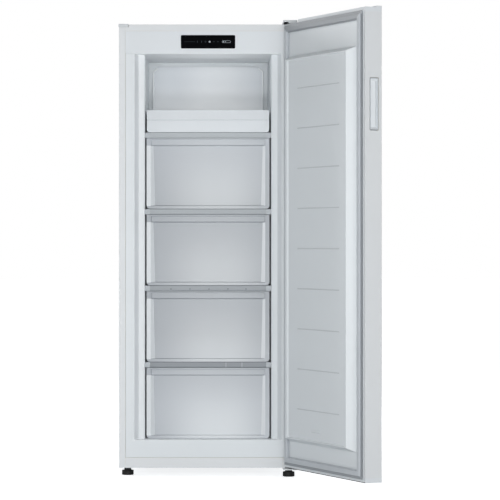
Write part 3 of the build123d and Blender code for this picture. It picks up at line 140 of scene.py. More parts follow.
softbox("upper front softbox", (0.0, -5.2, 1.3), (0.0, 0.0, 1.15), 1.8, 0.7, 64)
softbox("lower front softbox", (-0.1, -4.4, 0.25), (-0.05, 0.2, 0.9), 1.6, 0.4, 35)
softbox("left softbox", (-3.2, -1.9, 0.8), (0.4, -0.4, 0.7), 1.2, 1.4, 18.5)
softbox("right softbox", (2.3, -5.4, 0.8), (0.0, 0.0, 0.8), 1.2, 1.2, 21)
softbox("rear left softbox", (-3.0, 2.3, 1.4), (0.0, 0.1, 0.75), 1.6, 1.6, 55)
softbox("rear right softbox", (3.0, 2.3, 1.4), (0.0, 0.1, 0.75), 1.6, 1.6, 55)
softbox("overhead softbox", (0.0, 2.0, 3.4), (0.0, 0.1, 1.4), 1.5, 1.5, 32)
softbox("mouth fill", (0.0, -0.195, 1.17), (0.0, 0.0, 1.36), 0.2, 0.04, 0.08)

bpy.ops.mesh.primitive_plane_add(size=60, location=(0, 10, 0))
floor = bpy.context.object
floor.name = "floor"
paper = bpy.data.materials.new("white seamless paper")
paper.use_nodes = True
tree = paper.node_tree
tree.nodes.clear()
path = add(tree, "ShaderNodeLightPath")
direct, mirrored = path.outputs["Is Camera Ray"], path.outputs["Is Glossy Ray"]
seen = add(tree, "ShaderNodeMath", {0: direct, 1: mirrored}, operation="MAXIMUM")
matt = add(tree, "ShaderNodeBsdfDiffuse", {"Color": linear("E6E8EA")})
place = add(tree, "ShaderNodeTexCoord")
away = add(tree, "ShaderNodeVectorMath", {0: place.outputs["Object"], 1: (0, -10, 0)}, operation="DISTANCE")
glow = add(tree, "ShaderNodeMapRange", {0: away.outputs["Value"], 1: 0.6, 2: 1.5, 3: 0.68, 4: 0.86})
lift = add(tree, "ShaderNodeEmission", {"Color": (1, 1, 1, 1), "Strength": glow.outputs[0]})
lifted = add(tree, "ShaderNodeAddShader", {0: matt.outputs[0], 1: lift.outputs[0]})
mixed = add(tree, "ShaderNodeMixShader", {0: seen.outputs[0], 1: matt.outputs[0], 2: lifted.outputs[0]})
add(tree, "ShaderNodeOutputMaterial", {0: mixed.outputs[0]})
floor.data.materials.append(paper)
print("studio ready")

# %% [markdown]
# ## Modelling helpers
#
# Every piece starts as a primitive at its real size and place, and is then worked on in edit mode, as by
# hand: faces and edges are picked by where they are, and extruded, inset or bevelled. Sizes are in
# millimetres, as on a drawing, and one function turns them to metres.


# %% Modelling helpers
def mm(*values):
    found = tuple(value / 1000 for value in values)
    return found[0] if len(found) == 1 else found


def done():
    """Leaves edit mode."""
    bpy.ops.object.mode_set(mode="OBJECT")


def activate(piece):
    """Selects one piece alone, in object mode."""
    if bpy.context.object and bpy.context.object.mode != "OBJECT":
        done()
    bpy.ops.object.select_all(action="DESELECT")
    piece.select_set(True)
    bpy.context.view_layer.objects.active = piece


def settle(piece):
    """Puts a piece's place, turn and size into its mesh."""
    activate(piece)
    bpy.ops.object.transform_apply(location=True, rotation=True, scale=True)
    return piece


def block(name, low, high):
    """A cube primitive between two corners in millimetres."""
    bpy.ops.object.select_all(action="DESELECT")
    middle = [(a + b) / 2000 for a, b in zip(low, high)]
    bpy.ops.mesh.primitive_cube_add(size=1, location=middle)
    piece = bpy.context.object
    piece.name = piece.data.name = name
    piece.scale = [(b - a) / 1000 for a, b in zip(low, high)]
    return settle(piece)


def sheet(name, x, z, y):
    """An upright plane that faces the front, between x and z spans in millimetres."""
    bpy.ops.object.select_all(action="DESELECT")
    middle = mm((x[0] + x[1]) / 2, y, (z[0] + z[1]) / 2)
    bpy.ops.mesh.primitive_plane_add(size=1, location=middle, rotation=(math.pi / 2, 0, 0))
    piece = bpy.context.object
    piece.name = piece.data.name = name
    piece.scale = (mm(x[1] - x[0]), mm(z[1] - z[0]), 1)
    return settle(piece)


def rod(name, start, end, radius, sides=48):
    """A cylinder primitive from one point to another, in millimetres."""
    bpy.ops.object.select_all(action="DESELECT")
    a, b = Vector(mm(*start)), Vector(mm(*end))
    turn = (b - a).to_track_quat("Z", "Y").to_euler()
    bpy.ops.mesh.primitive_cylinder_add(
        vertices=sides, radius=mm(radius), depth=(b - a).length, location=(a + b) / 2, rotation=turn
    )
    piece = bpy.context.object
    piece.name = piece.data.name = name
    return settle(piece)


def pick(piece, kind, test):
    """Selects what passes the test, in edit mode. The test gets a centre in millimetres and a direction."""
    activate(piece)
    mesh = piece.data
    places = [v.co * 1000 for v in mesh.vertices]
    bpy.ops.object.mode_set(mode="EDIT")
    bpy.ops.mesh.select_mode(type=kind)
    bpy.ops.mesh.select_all(action="DESELECT")
    done()
    for item in {"FACE": mesh.polygons, "EDGE": mesh.edges, "VERT": mesh.vertices}[kind]:
        if kind == "FACE":
            item.select = test(item.center * 1000, item.normal)
        elif kind == "EDGE":
            a, b = (places[n] for n in item.vertices)
            item.select = test((a + b) / 2, (b - a).normalized())
        else:
            item.select = test(places[item.index], item.normal)
    bpy.ops.object.mode_set(mode="EDIT")


def extrude(*value):
    bpy.ops.mesh.extrude_region_move(TRANSFORM_OT_translate={"value": mm(*value)})


def scale(value, centre):
    bpy.ops.transform.resize(value=value, center_override=mm(*centre))


def bevel(width, segments=3, kind="EDGES"):
    bpy.ops.mesh.bevel(offset=mm(width), segments=segments, affect=kind, profile=0.5)


def cut(piece, place, normal):
    """Cuts new edges into a piece where a plane crosses it."""
    activate(piece)
    bpy.ops.object.mode_set(mode="EDIT")
    bpy.ops.mesh.select_all(action="SELECT")
    bpy.ops.mesh.bisect(plane_co=mm(*place), plane_no=normal)
    done()


def modify(piece, kind, **settings):
    """Adds a modifier, sets it and applies it."""
    activate(piece)
    bpy.ops.object.modifier_add(type=kind)
    made = piece.modifiers[-1]
    for name, value in settings.items():
        setattr(made, name, value)
    bpy.ops.object.modifier_apply(modifier=made.name)


def ease(piece, width, segments=3, angle=30):
    """Rounds every edge that is sharper than an angle."""
    modify(
        piece, "BEVEL", width=mm(width), segments=segments, limit_method="ANGLE",
        angle_limit=math.radians(angle), harden_normals=False,
    )


def join(name, pieces):
    """Joins pieces into the first one."""
    activate(pieces[0])
    for other in pieces[1:]:
        other.select_set(True)
    bpy.ops.object.join()
    pieces[0].name = pieces[0].data.name = name
    return pieces[0]


def copy_of(piece, offset=(0, 0, 0)):
    """A copy with its own mesh, moved by an offset in millimetres."""
    activate(piece)
    bpy.ops.object.duplicate(linked=False)
    made = bpy.context.object
    made.location = mm(*offset)
    return settle(made)


def paint(piece, test, main, other):
    """Gives a piece two finishes: the main one, and another for the faces that pass the test."""
    piece.data.materials.clear()
    piece.data.materials.append(main)
    piece.data.materials.append(other)
    pick(piece, "FACE", test)
    piece.active_material_index = 1
    bpy.ops.object.material_slot_assign()
    done()


DRESSED = set()


def dress(piece, finish, *nodes, angle=32):
    """Finishes a piece: shading, its material unless it is painted, its body, and the nodes it replaces."""
    activate(piece)
    bpy.ops.object.shade_smooth_by_angle(angle=math.radians(angle))
    modify(piece, "WEIGHTED_NORMAL", weight=100, keep_sharp=True)
    if finish:
        piece.data.materials.clear()
        piece.data.materials.append(finish)
    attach(piece, BODY_OF[nodes[0]])
    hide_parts(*nodes)
    DRESSED.update(nodes)
    return piece


def from_solid(node, width=0.6, segments=2, angle=30):
    """A copy of a measured solid with its loose triangles merged, its flats cleaned and its edges eased."""
    activate(NODES[node])
    bpy.ops.object.duplicate(linked=False)
    piece = bpy.context.object
    for key in list(piece.keys()):
        del piece[key]
    piece.parent = None
    piece.name = piece.data.name = node + "_eased"
    bpy.ops.object.mode_set(mode="EDIT")
    bpy.ops.mesh.select_all(action="SELECT")
    bpy.ops.mesh.remove_doubles(threshold=1e-6)
    bpy.ops.mesh.dissolve_limited(angle_limit=math.radians(1))
    done()
    if width:
        ease(piece, width, segments, angle)
    return piece


# Measures that several cells share: the hinge pins, the open door's angle, the liner's floor, one shelf to
# the next.
PIVOT = (260.0, -282.5)
DOOR_ANGLE = 113.1
FLOOR_Z, PITCH = 111.5, 239.0


def swing(piece):
    """Turns a piece that was modelled on the shut door to where the open door stands."""
    pivot = Matrix.Translation((*mm(*PIVOT), 0))
    piece.matrix_world = pivot @ Matrix.Rotation(math.radians(DOOR_ANGLE), 4, "Z") @ pivot.inverted()
    return settle(piece)


print("helpers ready")

# %% [markdown]
# ## Finishes
#
# Each finish is named for its real material and says what that gives the eye. All of them read Object
# coordinates, so the grain stays with its piece, and each pattern's scale comes from a size in millimetres.


# %% Finishes
def grain(tree, size, detail=2.0, squash=(1, 1, 1)):
    """A noise pattern whose lumps are about a size in millimetres across."""
    place = add(tree, "ShaderNodeTexCoord")
    turned = add(tree, "ShaderNodeMapping", {"Vector": place.outputs["Object"], "Scale": squash})
    return add(
        tree, "ShaderNodeTexNoise",
        {"Vector": turned.outputs[0], "Scale": 1000 / size, "Detail": detail, "Roughness": 0.55},
    )


def finish(name, light, dark, roughness, lump, bump, patch=180.0, spread=0.06, squash=(1, 1, 1), **sockets):
    """A Principled finish: two near colours in large soft patches, a fine surface texture, and sockets."""
    made = bpy.data.materials.new(name)
    made.use_nodes = True
    tree = made.node_tree
    tree.nodes.clear()
    patches = grain(tree, patch)
    colour = add(
        tree, "ShaderNodeMix", {0: patches.outputs[0], 6: linear(dark), 7: linear(light)}, data_type="RGBA"
    )
    fine = grain(tree, lump, 3.0, squash)
    rough = add(
        tree, "ShaderNodeMapRange",
        {0: fine.outputs[0], 3: roughness - spread / 2, 4: roughness + spread / 2},
    )
    relief = add(tree, "ShaderNodeBump", {"Height": fine.outputs[0], "Distance": mm(bump), "Strength": 0.35})
    inputs = {
        "Base Color": colour.outputs[2], "Roughness": rough.outputs[0], "Normal": relief.outputs[0], **sockets
    }
    shader = add(tree, "ShaderNodeBsdfPrincipled", inputs)
    add(tree, "ShaderNodeOutputMaterial", {0: shader.outputs[0]})
    return made


def by_place(finished):
    """What a finish needs to change colour by place: its tree, shader and colour, and a point's x and z."""
    tree = finished.node_tree
    shader = next(node for node in tree.nodes if node.type == "BSDF_PRINCIPLED")
    place = add(tree, "ShaderNodeTexCoord")
    split = add(tree, "ShaderNodeSeparateXYZ", {0: place.outputs["Object"]})
    return tree, shader, shader.inputs["Base Color"].links[0].from_socket, split.outputs[0], split.outputs[2]


def away_from(tree, value, centre):
    """How far a value is from a centre."""
    shifted = add(tree, "ShaderNodeMath", {0: value, 1: -centre}, operation="ADD")
    return add(tree, "ShaderNodeMath", {0: shifted.outputs[0]}, operation="ABSOLUTE").outputs[0]


EASED = {"interpolation_type": "SMOOTHSTEP"}
# The middle of the painted light from in front, a little to the right of the middle, in metres.
BRIGHT_X = 0.03
# Powder-coated steel: smooth satin white, with a faint orange peel of about 1.5 mm.
COATED = finish("powder-coated steel", "D9DCDE", "D6D9DB", 0.5, 1.5, 0.02)
# Vacuum-formed polystyrene: satin, slightly cooler, with soft ripples a few millimetres long.
LINER = finish("vacuum-formed polystyrene", "D8DDE0", "D5DADD", 0.48, 4.0, 0.03)
# Painted light: inside the mouth the sheet is painted whiter, for the light that reaches in from in front and
# from the right, but not on the mouth's right side, which the open door shades.
PAINTED_LIGHT_WHITE = finish("white polystyrene with painted light", "F0F3F5", "EDF0F2", 0.45, 4.0, 0.03)
# The duct cover: the same sheet with painted light, brightest up its middle and low down, where the light from
# in front lands.
DUCT = finish("matt white polystyrene with painted light", "D0D5DA", "CDD2D7", 0.5, 4.0, 0.02)
tree, shader, plain, x, z = by_place(DUCT)
across = away_from(tree, x, BRIGHT_X)
across = add(tree, "ShaderNodeMapRange", {0: across, 1: 0.02, 2: 0.15, 3: 0.45, 4: 0.0}, **EASED)
low = add(tree, "ShaderNodeMapRange", {0: z, 1: 1.165, 2: 1.25, 3: 0.65, 4: 0.0}, **EASED)
light = add(tree, "ShaderNodeMath", {0: across.outputs[0], 1: low.outputs[0]}, operation="ADD")
shade = add(tree, "ShaderNodeMix", {0: light.outputs[0], 6: plain, 7: linear("F4F6F7")}, data_type="RGBA")
tree.links.new(shade.outputs[2], shader.inputs["Base Color"])
# Painted shade: the fine lines pressed into the sheet, and the underside of the boss, are painted a little
# darker, for the shade that gathers in them.
PAINTED_LINE_SHADE = finish("polystyrene with painted shade", "C3C8CB", "BFC4C7", 0.5, 4.0, 0.02)
# Shelf trims: grey polystyrene, a shade below the white around it. The grey is partly the plastic's tint and
# partly painted shade, for the shade the trims lie in between the drawers.
TRIM = finish("grey polystyrene with painted shade", "A2A8AC", "A2A8AC", 0.42, 1.5, 0.02)
# Painted shade: the trims are painted darker towards the floor, for the deeper shade between the lower
# drawers.
tree, shader, plain, x, z = by_place(TRIM)
height = add(tree, "ShaderNodeMapRange", {0: z, 1: 0.33, 2: 1.07})
tint = add(tree, "ShaderNodeMix", {0: height.outputs[0], 6: linear("787E84"), 7: plain}, data_type="RGBA")
tree.links.new(tint.outputs[2], shader.inputs["Base Color"])
# The trims' end pieces: the same plastic with less tint.
TRIM_END = finish("pale grey polystyrene", "A7ADB2", "A2A8AD", 0.42, 1.5, 0.02)
# Moulded ABS: matt white with a fine spark-eroded texture, drawn at 0.8 mm so that it shows.
MOULDED = finish("moulded white ABS", "D9DEE1", "D7DBDF", 0.54, 0.8, 0.02)
# Frosted polystyrene: clear plastic with an etched face. Painted light and shade: each front is painted whiter
# in its lower middle, a painted pool of the light from in front, and greyer towards the top left.
FROSTED_PAINTED_LIGHT = finish("frosted polystyrene", "C7CBCE", "C4C8CB", 0.5, 1.0, 0.02, **{"IOR": 1.59})
# Painted light: the sloping sides of a front's sunk panel and the left side of its frame are painted lighter,
# for the light that runs inside the clear plastic.
EDGE_PAINTED_LIGHT = finish("frosted edges with painted light", "D4D8DB", "D1D5D8", 0.45, 1.0, 0.02, **{"IOR": 1.59})
tree, shader, plain, x, z = by_place(FROSTED_PAINTED_LIGHT)
across = away_from(tree, x, BRIGHT_X)
across = add(tree, "ShaderNodeMapRange", {0: across, 1: 0.02, 2: 0.22, 3: 1.0, 4: 0.1}, **EASED)
# The remainder of the height over the floor, after whole shelf pitches, makes each front alike.
height = add(tree, "ShaderNodeMath", {0: z, 1: -mm(FLOOR_Z)}, operation="ADD")
height = add(tree, "ShaderNodeMath", {0: height.outputs[0], 1: mm(PITCH)}, operation="MODULO")
height = add(tree, "ShaderNodeMapRange", {0: height.outputs[0], 1: 0.03, 2: 0.21, 3: 1.0, 4: 0.35}, **EASED)
glow = add(tree, "ShaderNodeMath", {0: across.outputs[0], 1: height.outputs[0]}, operation="MULTIPLY")
shade = add(tree, "ShaderNodeMix", {0: glow.outputs[0], 6: linear("A2A7AD"), 7: plain}, data_type="RGBA")
# Painted shade and light: the middle two fronts are painted darker, for the deeper shade they lie in, and the
# lowest lighter, for the light from the floor.
level = away_from(tree, z, 0.64)
level = add(tree, "ShaderNodeMapRange", {0: level, 1: 0.2, 2: 0.42, 3: 0.91, 4: 1.13})
level = add(tree, "ShaderNodeHueSaturation", {"Value": level.outputs[0], "Color": shade.outputs[2]})
tree.links.new(level.outputs[0], shader.inputs["Base Color"])
# Toughened glass: clear, faintly green in its thickness.
GLASS = finish(
    "toughened glass", "E4F0EC", "E0EEE9", 0.03, 60, 0.0, spread=0.01,
    **{"Transmission Weight": 1.0, "IOR": 1.52},
)
# Soft PVC of the magnetic seal: matt grey, with a fine pull along its length.
SEAL = finish("soft grey PVC", "BBC0C5", "B6BBC0", 0.55, 1.2, 0.03)
# Painted shade: the seal's outer lip all round and its whole top run are painted darker, for the shadow beyond
# the lip and under the top run; the floor of the handle's groove takes the same colour.
SEAL_SHADE = finish("grey PVC with painted shade", "8F9499", "8A8F94", 0.5, 1.2, 0.02)
# Black printed glass with a matt coat against reflections: nearly no highlight is left on it.
BLACK_GLASS = finish(
    "coated black glass", "060709", "040506", 0.45, 40, 0.0, spread=0.02, **{"Specular IOR Level": 0.01}
)
# Grey ink on the back of the display, and the marks that are lit.
INK = finish("grey printing ink", "3A4046", "363C42", 0.5, 2.0, 0.0, **{"Specular IOR Level": 0.1})
LIT_INK = finish("lit white ink", "A9B0B7", "A2A9B0", 0.5, 2.0, 0.0, **{"Specular IOR Level": 0.1})
# Light grey polypropylene of the corner cap and the hinge cover.
GREY = finish("light grey polypropylene", "CDD1D4", "C9CDD0", 0.5, 0.9, 0.02)
# Moulded black polypropylene: dark grey where the light grazes, fine texture.
BLACK = finish("black polypropylene", "0B0C0D", "070808", 0.6, 0.9, 0.03, **{"Specular IOR Level": 0.25})
# Zinc-plated steel: pale grey metal with soft crystal patches about 12 mm across.
ZINC = finish("zinc-plated steel", "B4B7B9", "9DA1A4", 0.36, 1.2, 0.02, patch=12.0, Metallic=1.0)
# Black enamelled steel of the compressor: glossy, with a slight orange peel.
ENAMEL = finish("black enamelled steel", "0E0F10", "0A0B0C", 0.22, 3.0, 0.05)
# Drawn copper pipe: warm metal, darker where it has tarnished.
COPPER = finish("drawn copper", "C98763", "A9694A", 0.3, 0.8, 0.02, patch=20.0, Metallic=1.0)
# Bare aluminium: bright, with lines along the fin.
ALUMINIUM = finish("bare aluminium", "C9CBCD", "BCBEC1", 0.32, 0.8, 0.02, Metallic=1.0)
# Polyurethane foam: cream, cellular at about 0.6 mm, drawn at 1.5 mm.
FOAM = finish("polyurethane foam", "E2D3A6", "D3C08C", 0.85, 1.5, 0.3)
# Moulded nitrile rubber: dark and matt. The same finish is painted as shade along the door's lower inner edge.
RUBBER_AND_SHADE = finish("nitrile rubber", "202021", "19191A", 0.7, 0.7, 0.04)
# Glass-epoxy circuit board under green lacquer.
BOARD = finish("lacquered circuit board", "1F5B35", "184A2B", 0.35, 2.0, 0.02)
PALETTE = {
    "white_steel": COATED, "plated_sheet": ZINC, "plated_steel": ZINC, "white_plastic": MOULDED,
    "liner_plastic": LINER, "clear_plastic": FROSTED_PAINTED_LIGHT, "black_glass": BLACK_GLASS, "shelf_glass": GLASS,
    "foam": FOAM, "seal": SEAL, "circuit_board": BOARD, "copper": COPPER, "black_plastic": BLACK,
    "black_paint": ENAMEL, "black_rubber": RUBBER_AND_SHADE, "aluminium": ALUMINIUM,
}
print(len(PALETTE), "finishes")

# %% [markdown]
# ## The bent steel panels
#
# The sides and the top are thin sheet, folded over at the front and back. A fold is never sharp: its outside
# has a radius of about one and a half times the sheet. So each panel starts as a block, loses the faces
# that it doesn't have, gets its folds rounded, and is then given the sheet's thickness.

# %% Side and top panels
SHEET = 0.8
YF, YB = -253.5, 252.7
FOLD = 1.6


def clear_corner(panel):
    """Cuts the notch in the top left corner of the sheet, where the corner cap goes."""
    for place, normal in (((-246, 0, 0), (1, 0, 0)), ((0, -201.3, 0), (0, 1, 0)), ((0, 0, 1391.8), (0, 0, 1))):
        cut(panel, place, normal)
    pick(panel, "FACE", lambda c, n: c.x < -246 and c.y < -201.3 and c.z > 1391.8)
    bpy.ops.mesh.delete(type="FACE")
    done()


def side_panel(side):
    x = sorted((side * 257.0, side * 276.5))
    panel = block("side_panel", (x[0], YF, 24), (x[1], YB, 1400))
    pick(panel, "FACE", lambda c, n: abs(n.z) > 0.9 or n.x * side < -0.9)
    bpy.ops.mesh.delete(type="FACE")
    pick(panel, "EDGE", lambda c, d: abs(d.z) > 0.9 and abs(c.x) > 270)
    bevel(FOLD, 4)
    pick(panel, "VERT", lambda c, n: c.y > 0 and abs(c.x) < 258)
    bpy.ops.transform.translate(value=mm(side * 5.5, 0, 0))
    done()
    if side < 0:
        clear_corner(panel)
    modify(panel, "SOLIDIFY", thickness=mm(SHEET), offset=-1)
    return dress(panel, COATED, ("left" if side < 0 else "right") + "_side_panel")


for side in (-1, 1):
    side_panel(side)

top = block("top_panel_sheet", (-275.6, YF, 1380), (275.6, YB, 1400))
pick(top, "FACE", lambda c, n: n.z < -0.9 or abs(n.x) > 0.9)
bpy.ops.mesh.delete(type="FACE")
pick(top, "EDGE", lambda c, d: abs(d.x) > 0.9 and c.z > 1390)
bevel(FOLD, 4)
done()
for x in (-256.8, 256.8):
    cut(top, (x, 0, 0), (1, 0, 0))
pick(top, "FACE", lambda c, n: abs(c.x) > 256.8 and c.y < YF + FOLD + 0.1)
bpy.ops.mesh.delete(type="FACE")
pick(top, "VERT", lambda c, n: c.y > YB - 1 and c.z < 1398.0)
scale((262.3 / 275.6, 1, 1), (0, 0, 0))
done()
clear_corner(top)
modify(top, "SOLIDIFY", thickness=mm(SHEET), offset=-1)
dress(top, COATED, "top_panel")
print("steel panels ready")

# %% [markdown]
# ## The liner
#
# The white inside is one sheet of polystyrene, pulled by vacuum over a mould. That leaves every corner
# rounded, and gives the mouth its steep step and its shallow bevel. It is modelled the way it is made: a
# flat front sheet, in which the middle is pushed back step by step.

# %% Inner liner
CEILING_Z = 1308.9
MOUTH, THROAT, INNER = 229.0, 217.0, 196.5
STEP_Y, STEP_Z, REAR_Y = 23.5, 271.0, 148.5

liner = sheet("formed_liner", (-256.7, 256.7), (55.3, 1310.4), YF)
for x in (-MOUTH, MOUTH):
    cut(liner, (x, 0, 0), (1, 0, 0))
for z in (FLOOR_Z, CEILING_Z):
    cut(liner, (0, 0, z), (0, 0, 1))
pick(liner, "FACE", lambda c, n: abs(c.x) < 10 and FLOOR_Z < c.z < CEILING_Z)
extrude(0, 34, 0)
scale((THROAT / MOUTH, 1, 1), (0, 0, 0))
extrude(0, 10, 0)
scale((INNER / THROAT, 1, 1), (0, 0, 0))
extrude(0, STEP_Y - YF - 44, 0)
done()
cut(liner, (0, 0, STEP_Z), (0, 0, 1))
pick(liner, "FACE", lambda c, n: abs(c.y - STEP_Y) < 0.1 and c.z > STEP_Z)
extrude(0, REAR_Y - STEP_Y, 0)
done()
for x in (-254.9, 254.9):
    cut(liner, (x, 0, 0), (1, 0, 0))
cut(liner, (0, 0, 57.2), (0, 0, 1))
pick(liner, "VERT", lambda c, n: c.y < YF + 0.1 and (abs(c.x) > 256 or c.z < 56))
bpy.ops.transform.translate(value=mm(0, 1.4, 0))
done()
for half, near, far, width, segments in (
    (INNER, -200, 400, 9, 4), (INNER, -400, -200, 5, 3), (THROAT, -400, 0, 4, 3)
):
    pick(liner, "EDGE", lambda c, d: abs(d.z) > 0.9 and abs(abs(c.x) - half) < 0.1 and near < c.y < far)
    bevel(width, segments)
    done()
pick(liner, "EDGE", lambda c, d: abs(d.z) > 0.9 and abs(abs(c.x) - MOUTH) < 0.1 and c.z > FLOOR_Z)
bevel(2.5, 3)
done()
pick(liner, "EDGE", lambda c, d: abs(d.x) > 0.9 and abs(c.y - REAR_Y) < 0.1 and c.z > CEILING_Z - 0.1)
bevel(11, 5)
done()
modify(liner, "SOLIDIFY", thickness=mm(1.5), offset=-1)
rail = block("rail", (188.5, -189.5, 338.5), (197.0, 138.5, 346.5))
pick(rail, "EDGE", lambda c, d: abs(d.y) > 0.9 and c.x < 190)
bevel(3, 4)
done()
mirrored = copy_of(rail)
activate(mirrored)
mirrored.scale.x = -1
settle(mirrored)
bpy.ops.object.mode_set(mode="EDIT")
bpy.ops.mesh.select_all(action="SELECT")
bpy.ops.mesh.flip_normals()
done()
rails = [rail, mirrored] + [copy_of(one, (0, 0, PITCH * n)) for n in (1, 2, 3) for one in (rail, mirrored)]
liner = join("formed_liner", [liner, *rails])


def gets_painted_light(c, n):
    """Whether a face lies inside the mouth, and doesn't look to the left."""
    inside = YF + 0.5 < c.y < REAR_Y - 5 and abs(c.x) < MOUTH + 1 and FLOOR_Z - 1 < c.z < CEILING_Z + 1
    return inside and n.x > -0.3


# The faces inside the mouth that don't look to the left get the whiter colour: painted light.
paint(liner, gets_painted_light, LINER, PAINTED_LIGHT_WHITE)
dress(liner, None, "inner_liner")
print("liner", len(liner.data.polygons), "faces")

# %% [markdown]
# ## The drawers
#
# A drawer's front is a moulding of frosted polystyrene: a flat frame, a panel sunk between two bevelled
# sides, and a shallow band along the top that the fingers pull on. The panel narrows a little towards the
# bottom, so that the moulding comes out of its tool. One front is modelled for the top drawer and the
# others are copies of it, one shelf pitch lower.

# %% Drawer fronts
DRAWER_Y = -203.5
TOP_DRAWER = 828.5


def drawer_front(level):
    low, high = level + 0.3, level + 220.6
    front = block("drawer_front", (-192.2, DRAWER_Y, low), (192.2, DRAWER_Y + 14, high))
    pick(front, "EDGE", lambda c, d: abs(d.y) > 0.9 and c.z < low + 1)
    bevel(10, 6)
    done()
    for x in (-179, 179):
        cut(front, (x, 0, 0), (1, 0, 0))
    for z in (low + 9, high - 23, high - 4):
        cut(front, (0, 0, z), (0, 0, 1))
    middle = (0, 0, (low + high) / 2)
    pick(front, "FACE", lambda c, n: n.y < -0.9 and abs(c.x) < 10 and low + 9 < c.z < high - 23)
    extrude(0, 6, 0)
    scale((171 / 179, 1, 0.985), middle)
    done()
    pick(front, "VERT", lambda c, n: abs(c.y - DRAWER_Y - 6) < 0.1 and c.z < low + 20 and abs(c.x) > 100)
    scale((166 / 171, 1, 1), middle)
    done()
    pick(front, "FACE", lambda c, n: n.y < -0.9 and abs(c.x) < 10 and high - 23 < c.z < high - 4)
    extrude(0, 3, 0)
    scale((176 / 179, 1, 0.86), (0, 0, high - 13.5))
    done()
    pick(front, "FACE", lambda c, n: n.y > 0.9 and abs(c.x) < 10 and low + 9 < c.z < high - 4)
    extrude(0, -2.3, 0)
    done()
    ease(front, 0.9, 3, 25)

    def gets_edge_painted_light(c, n):
        """Whether a face is one of the panel's sloping sides, or on the frame's left side."""
        slope = 165 < abs(c.x) < 179 and -0.98 < n.y < -0.2
        return low + 10 < c.z < high - 24 and (slope or c.x < -179)

    # The panel's sloping sides and the frame's left side get the lighter colour: painted light.
    paint(front, gets_edge_painted_light, FROSTED_PAINTED_LIGHT, EDGE_PAINTED_LIGHT)
    return front


top_front = drawer_front(TOP_DRAWER)
fronts = [top_front] + [copy_of(top_front, (0, 0, -PITCH * n)) for n in (1, 2, 3)]
for number, front in enumerate(fronts, 1):
    front.name = front.data.name = f"drawer_{number}_moulded_front"
    dress(front, None, f"drawer_{number}_front")
print("drawer fronts", [len(front.data.polygons) for front in fronts])

# %% [markdown]
# Behind each front is a white basket. It is a box whose top is inset by the wall's thickness and pushed
# down, with soft corners where the plastic flowed. The lowest basket is shorter, as it meets the step over
# the machine bay.


# %% Drawer baskets
def basket(name, level, back):
    low, high = level + 0.3, level + 207.8
    tub = block(name, (-188, DRAWER_Y + 14.1, low), (188, back, high))
    pick(tub, "EDGE", lambda c, d: abs(d.z) > 0.9)
    bevel(3, 3)
    done()
    pick(tub, "FACE", lambda c, n: n.z > 0.9)
    bpy.ops.mesh.inset(thickness=mm(2.2))
    extrude(0, 0, low + 2.2 - high)
    done()
    ease(tub, 0.7, 2)
    return tub


long_basket = basket("basket", TOP_DRAWER, 136.5)
baskets = [long_basket] + [copy_of(long_basket, (0, 0, -PITCH * n)) for n in (1, 2)]
baskets.append(basket("basket", TOP_DRAWER - 3 * PITCH, 19.5))
for number, tub in enumerate(baskets, 1):
    tub.name = tub.data.name = f"drawer_{number}_tub"
    dress(tub, MOULDED, f"drawer_{number}_basket")
print("baskets", len(baskets))

# %% [markdown]
# ## The tray
#
# The tray above the drawers is opaque white. Its front leans back a little, and a groove runs across it at
# half its height, where the fingers find an edge. The groove is made by two cuts close together, and the
# strip between them is pushed in.

# %% Top tray
TRAY_LOW, TRAY_HIGH = 1067.8, 1137.0
tray = block("moulded_tray", (-191, DRAWER_Y, TRAY_LOW), (191, 136.5, TRAY_HIGH))
pick(tray, "EDGE", lambda c, d: abs(d.y) > 0.9 and c.z < TRAY_LOW + 1)
bevel(8, 6)
done()
for z in (TRAY_LOW + 36.5, TRAY_LOW + 40):
    cut(tray, (0, 0, z), (0, 0, 1))
pick(tray, "FACE", lambda c, n: n.y < -0.9 and TRAY_LOW + 36.5 < c.z < TRAY_LOW + 40)
extrude(0, 3.6, 0)
done()
pick(tray, "VERT", lambda c, n: c.y < DRAWER_Y + 1 and c.z > TRAY_HIGH - 1)
bpy.ops.transform.translate(value=mm(0, 3.5, 0))
done()
pick(tray, "FACE", lambda c, n: n.z > 0.9 and c.z > TRAY_HIGH - 1)
bpy.ops.mesh.inset(thickness=mm(2.4))
extrude(0, 0, TRAY_LOW + 2.2 - TRAY_HIGH)
done()
ease(tray, 0.6, 2, 40)
dress(tray, MOULDED, "top_tray")
print("tray", len(tray.data.polygons), "faces")

# %% [markdown]
# ## The shelf trims
#
# Each glass shelf carries a trim along its front edge: a bar of grey-tinted plastic, with a thin line
# moulded along it, between two lighter end pieces that rest on the liner's rails. One trim has five small
# dark pins, and the lowest two pale clips.

# %% Shelf trims
LEVEL = TOP_DRAWER + PITCH
trim = block("trim_bar", (-181.5, DRAWER_Y + 0.4, LEVEL - 18), (181.5, DRAWER_Y + 12, LEVEL))
pick(trim, "EDGE", lambda c, d: abs(d.x) > 0.9 and c.y < DRAWER_Y + 1)
bevel(2, 4)
done()
for z in (LEVEL - 14.6, LEVEL - 13.4):
    cut(trim, (0, 0, z), (0, 0, 1))
pick(trim, "FACE", lambda c, n: n.y < -0.9 and LEVEL - 14.6 < c.z < LEVEL - 13.4)
extrude(0, 0.9, 0)
done()
trim_end = block("trim_end", (181.7, DRAWER_Y, LEVEL - 18), (196.2, DRAWER_Y + 12, LEVEL - 0.2))
pick(trim_end, "EDGE", lambda c, d: abs(d.z) < 0.9)
bevel(1.8, 4)
done()
other_end = copy_of(trim_end, (-377.9, 0, 0))
bars = [trim] + [copy_of(trim, (0, 0, -PITCH * n)) for n in (1, 2, 3)]
ends = [trim_end, other_end] + [
    copy_of(one, (0, 0, -PITCH * n)) for n in (1, 2, 3) for one in (trim_end, other_end)
]
pins = []
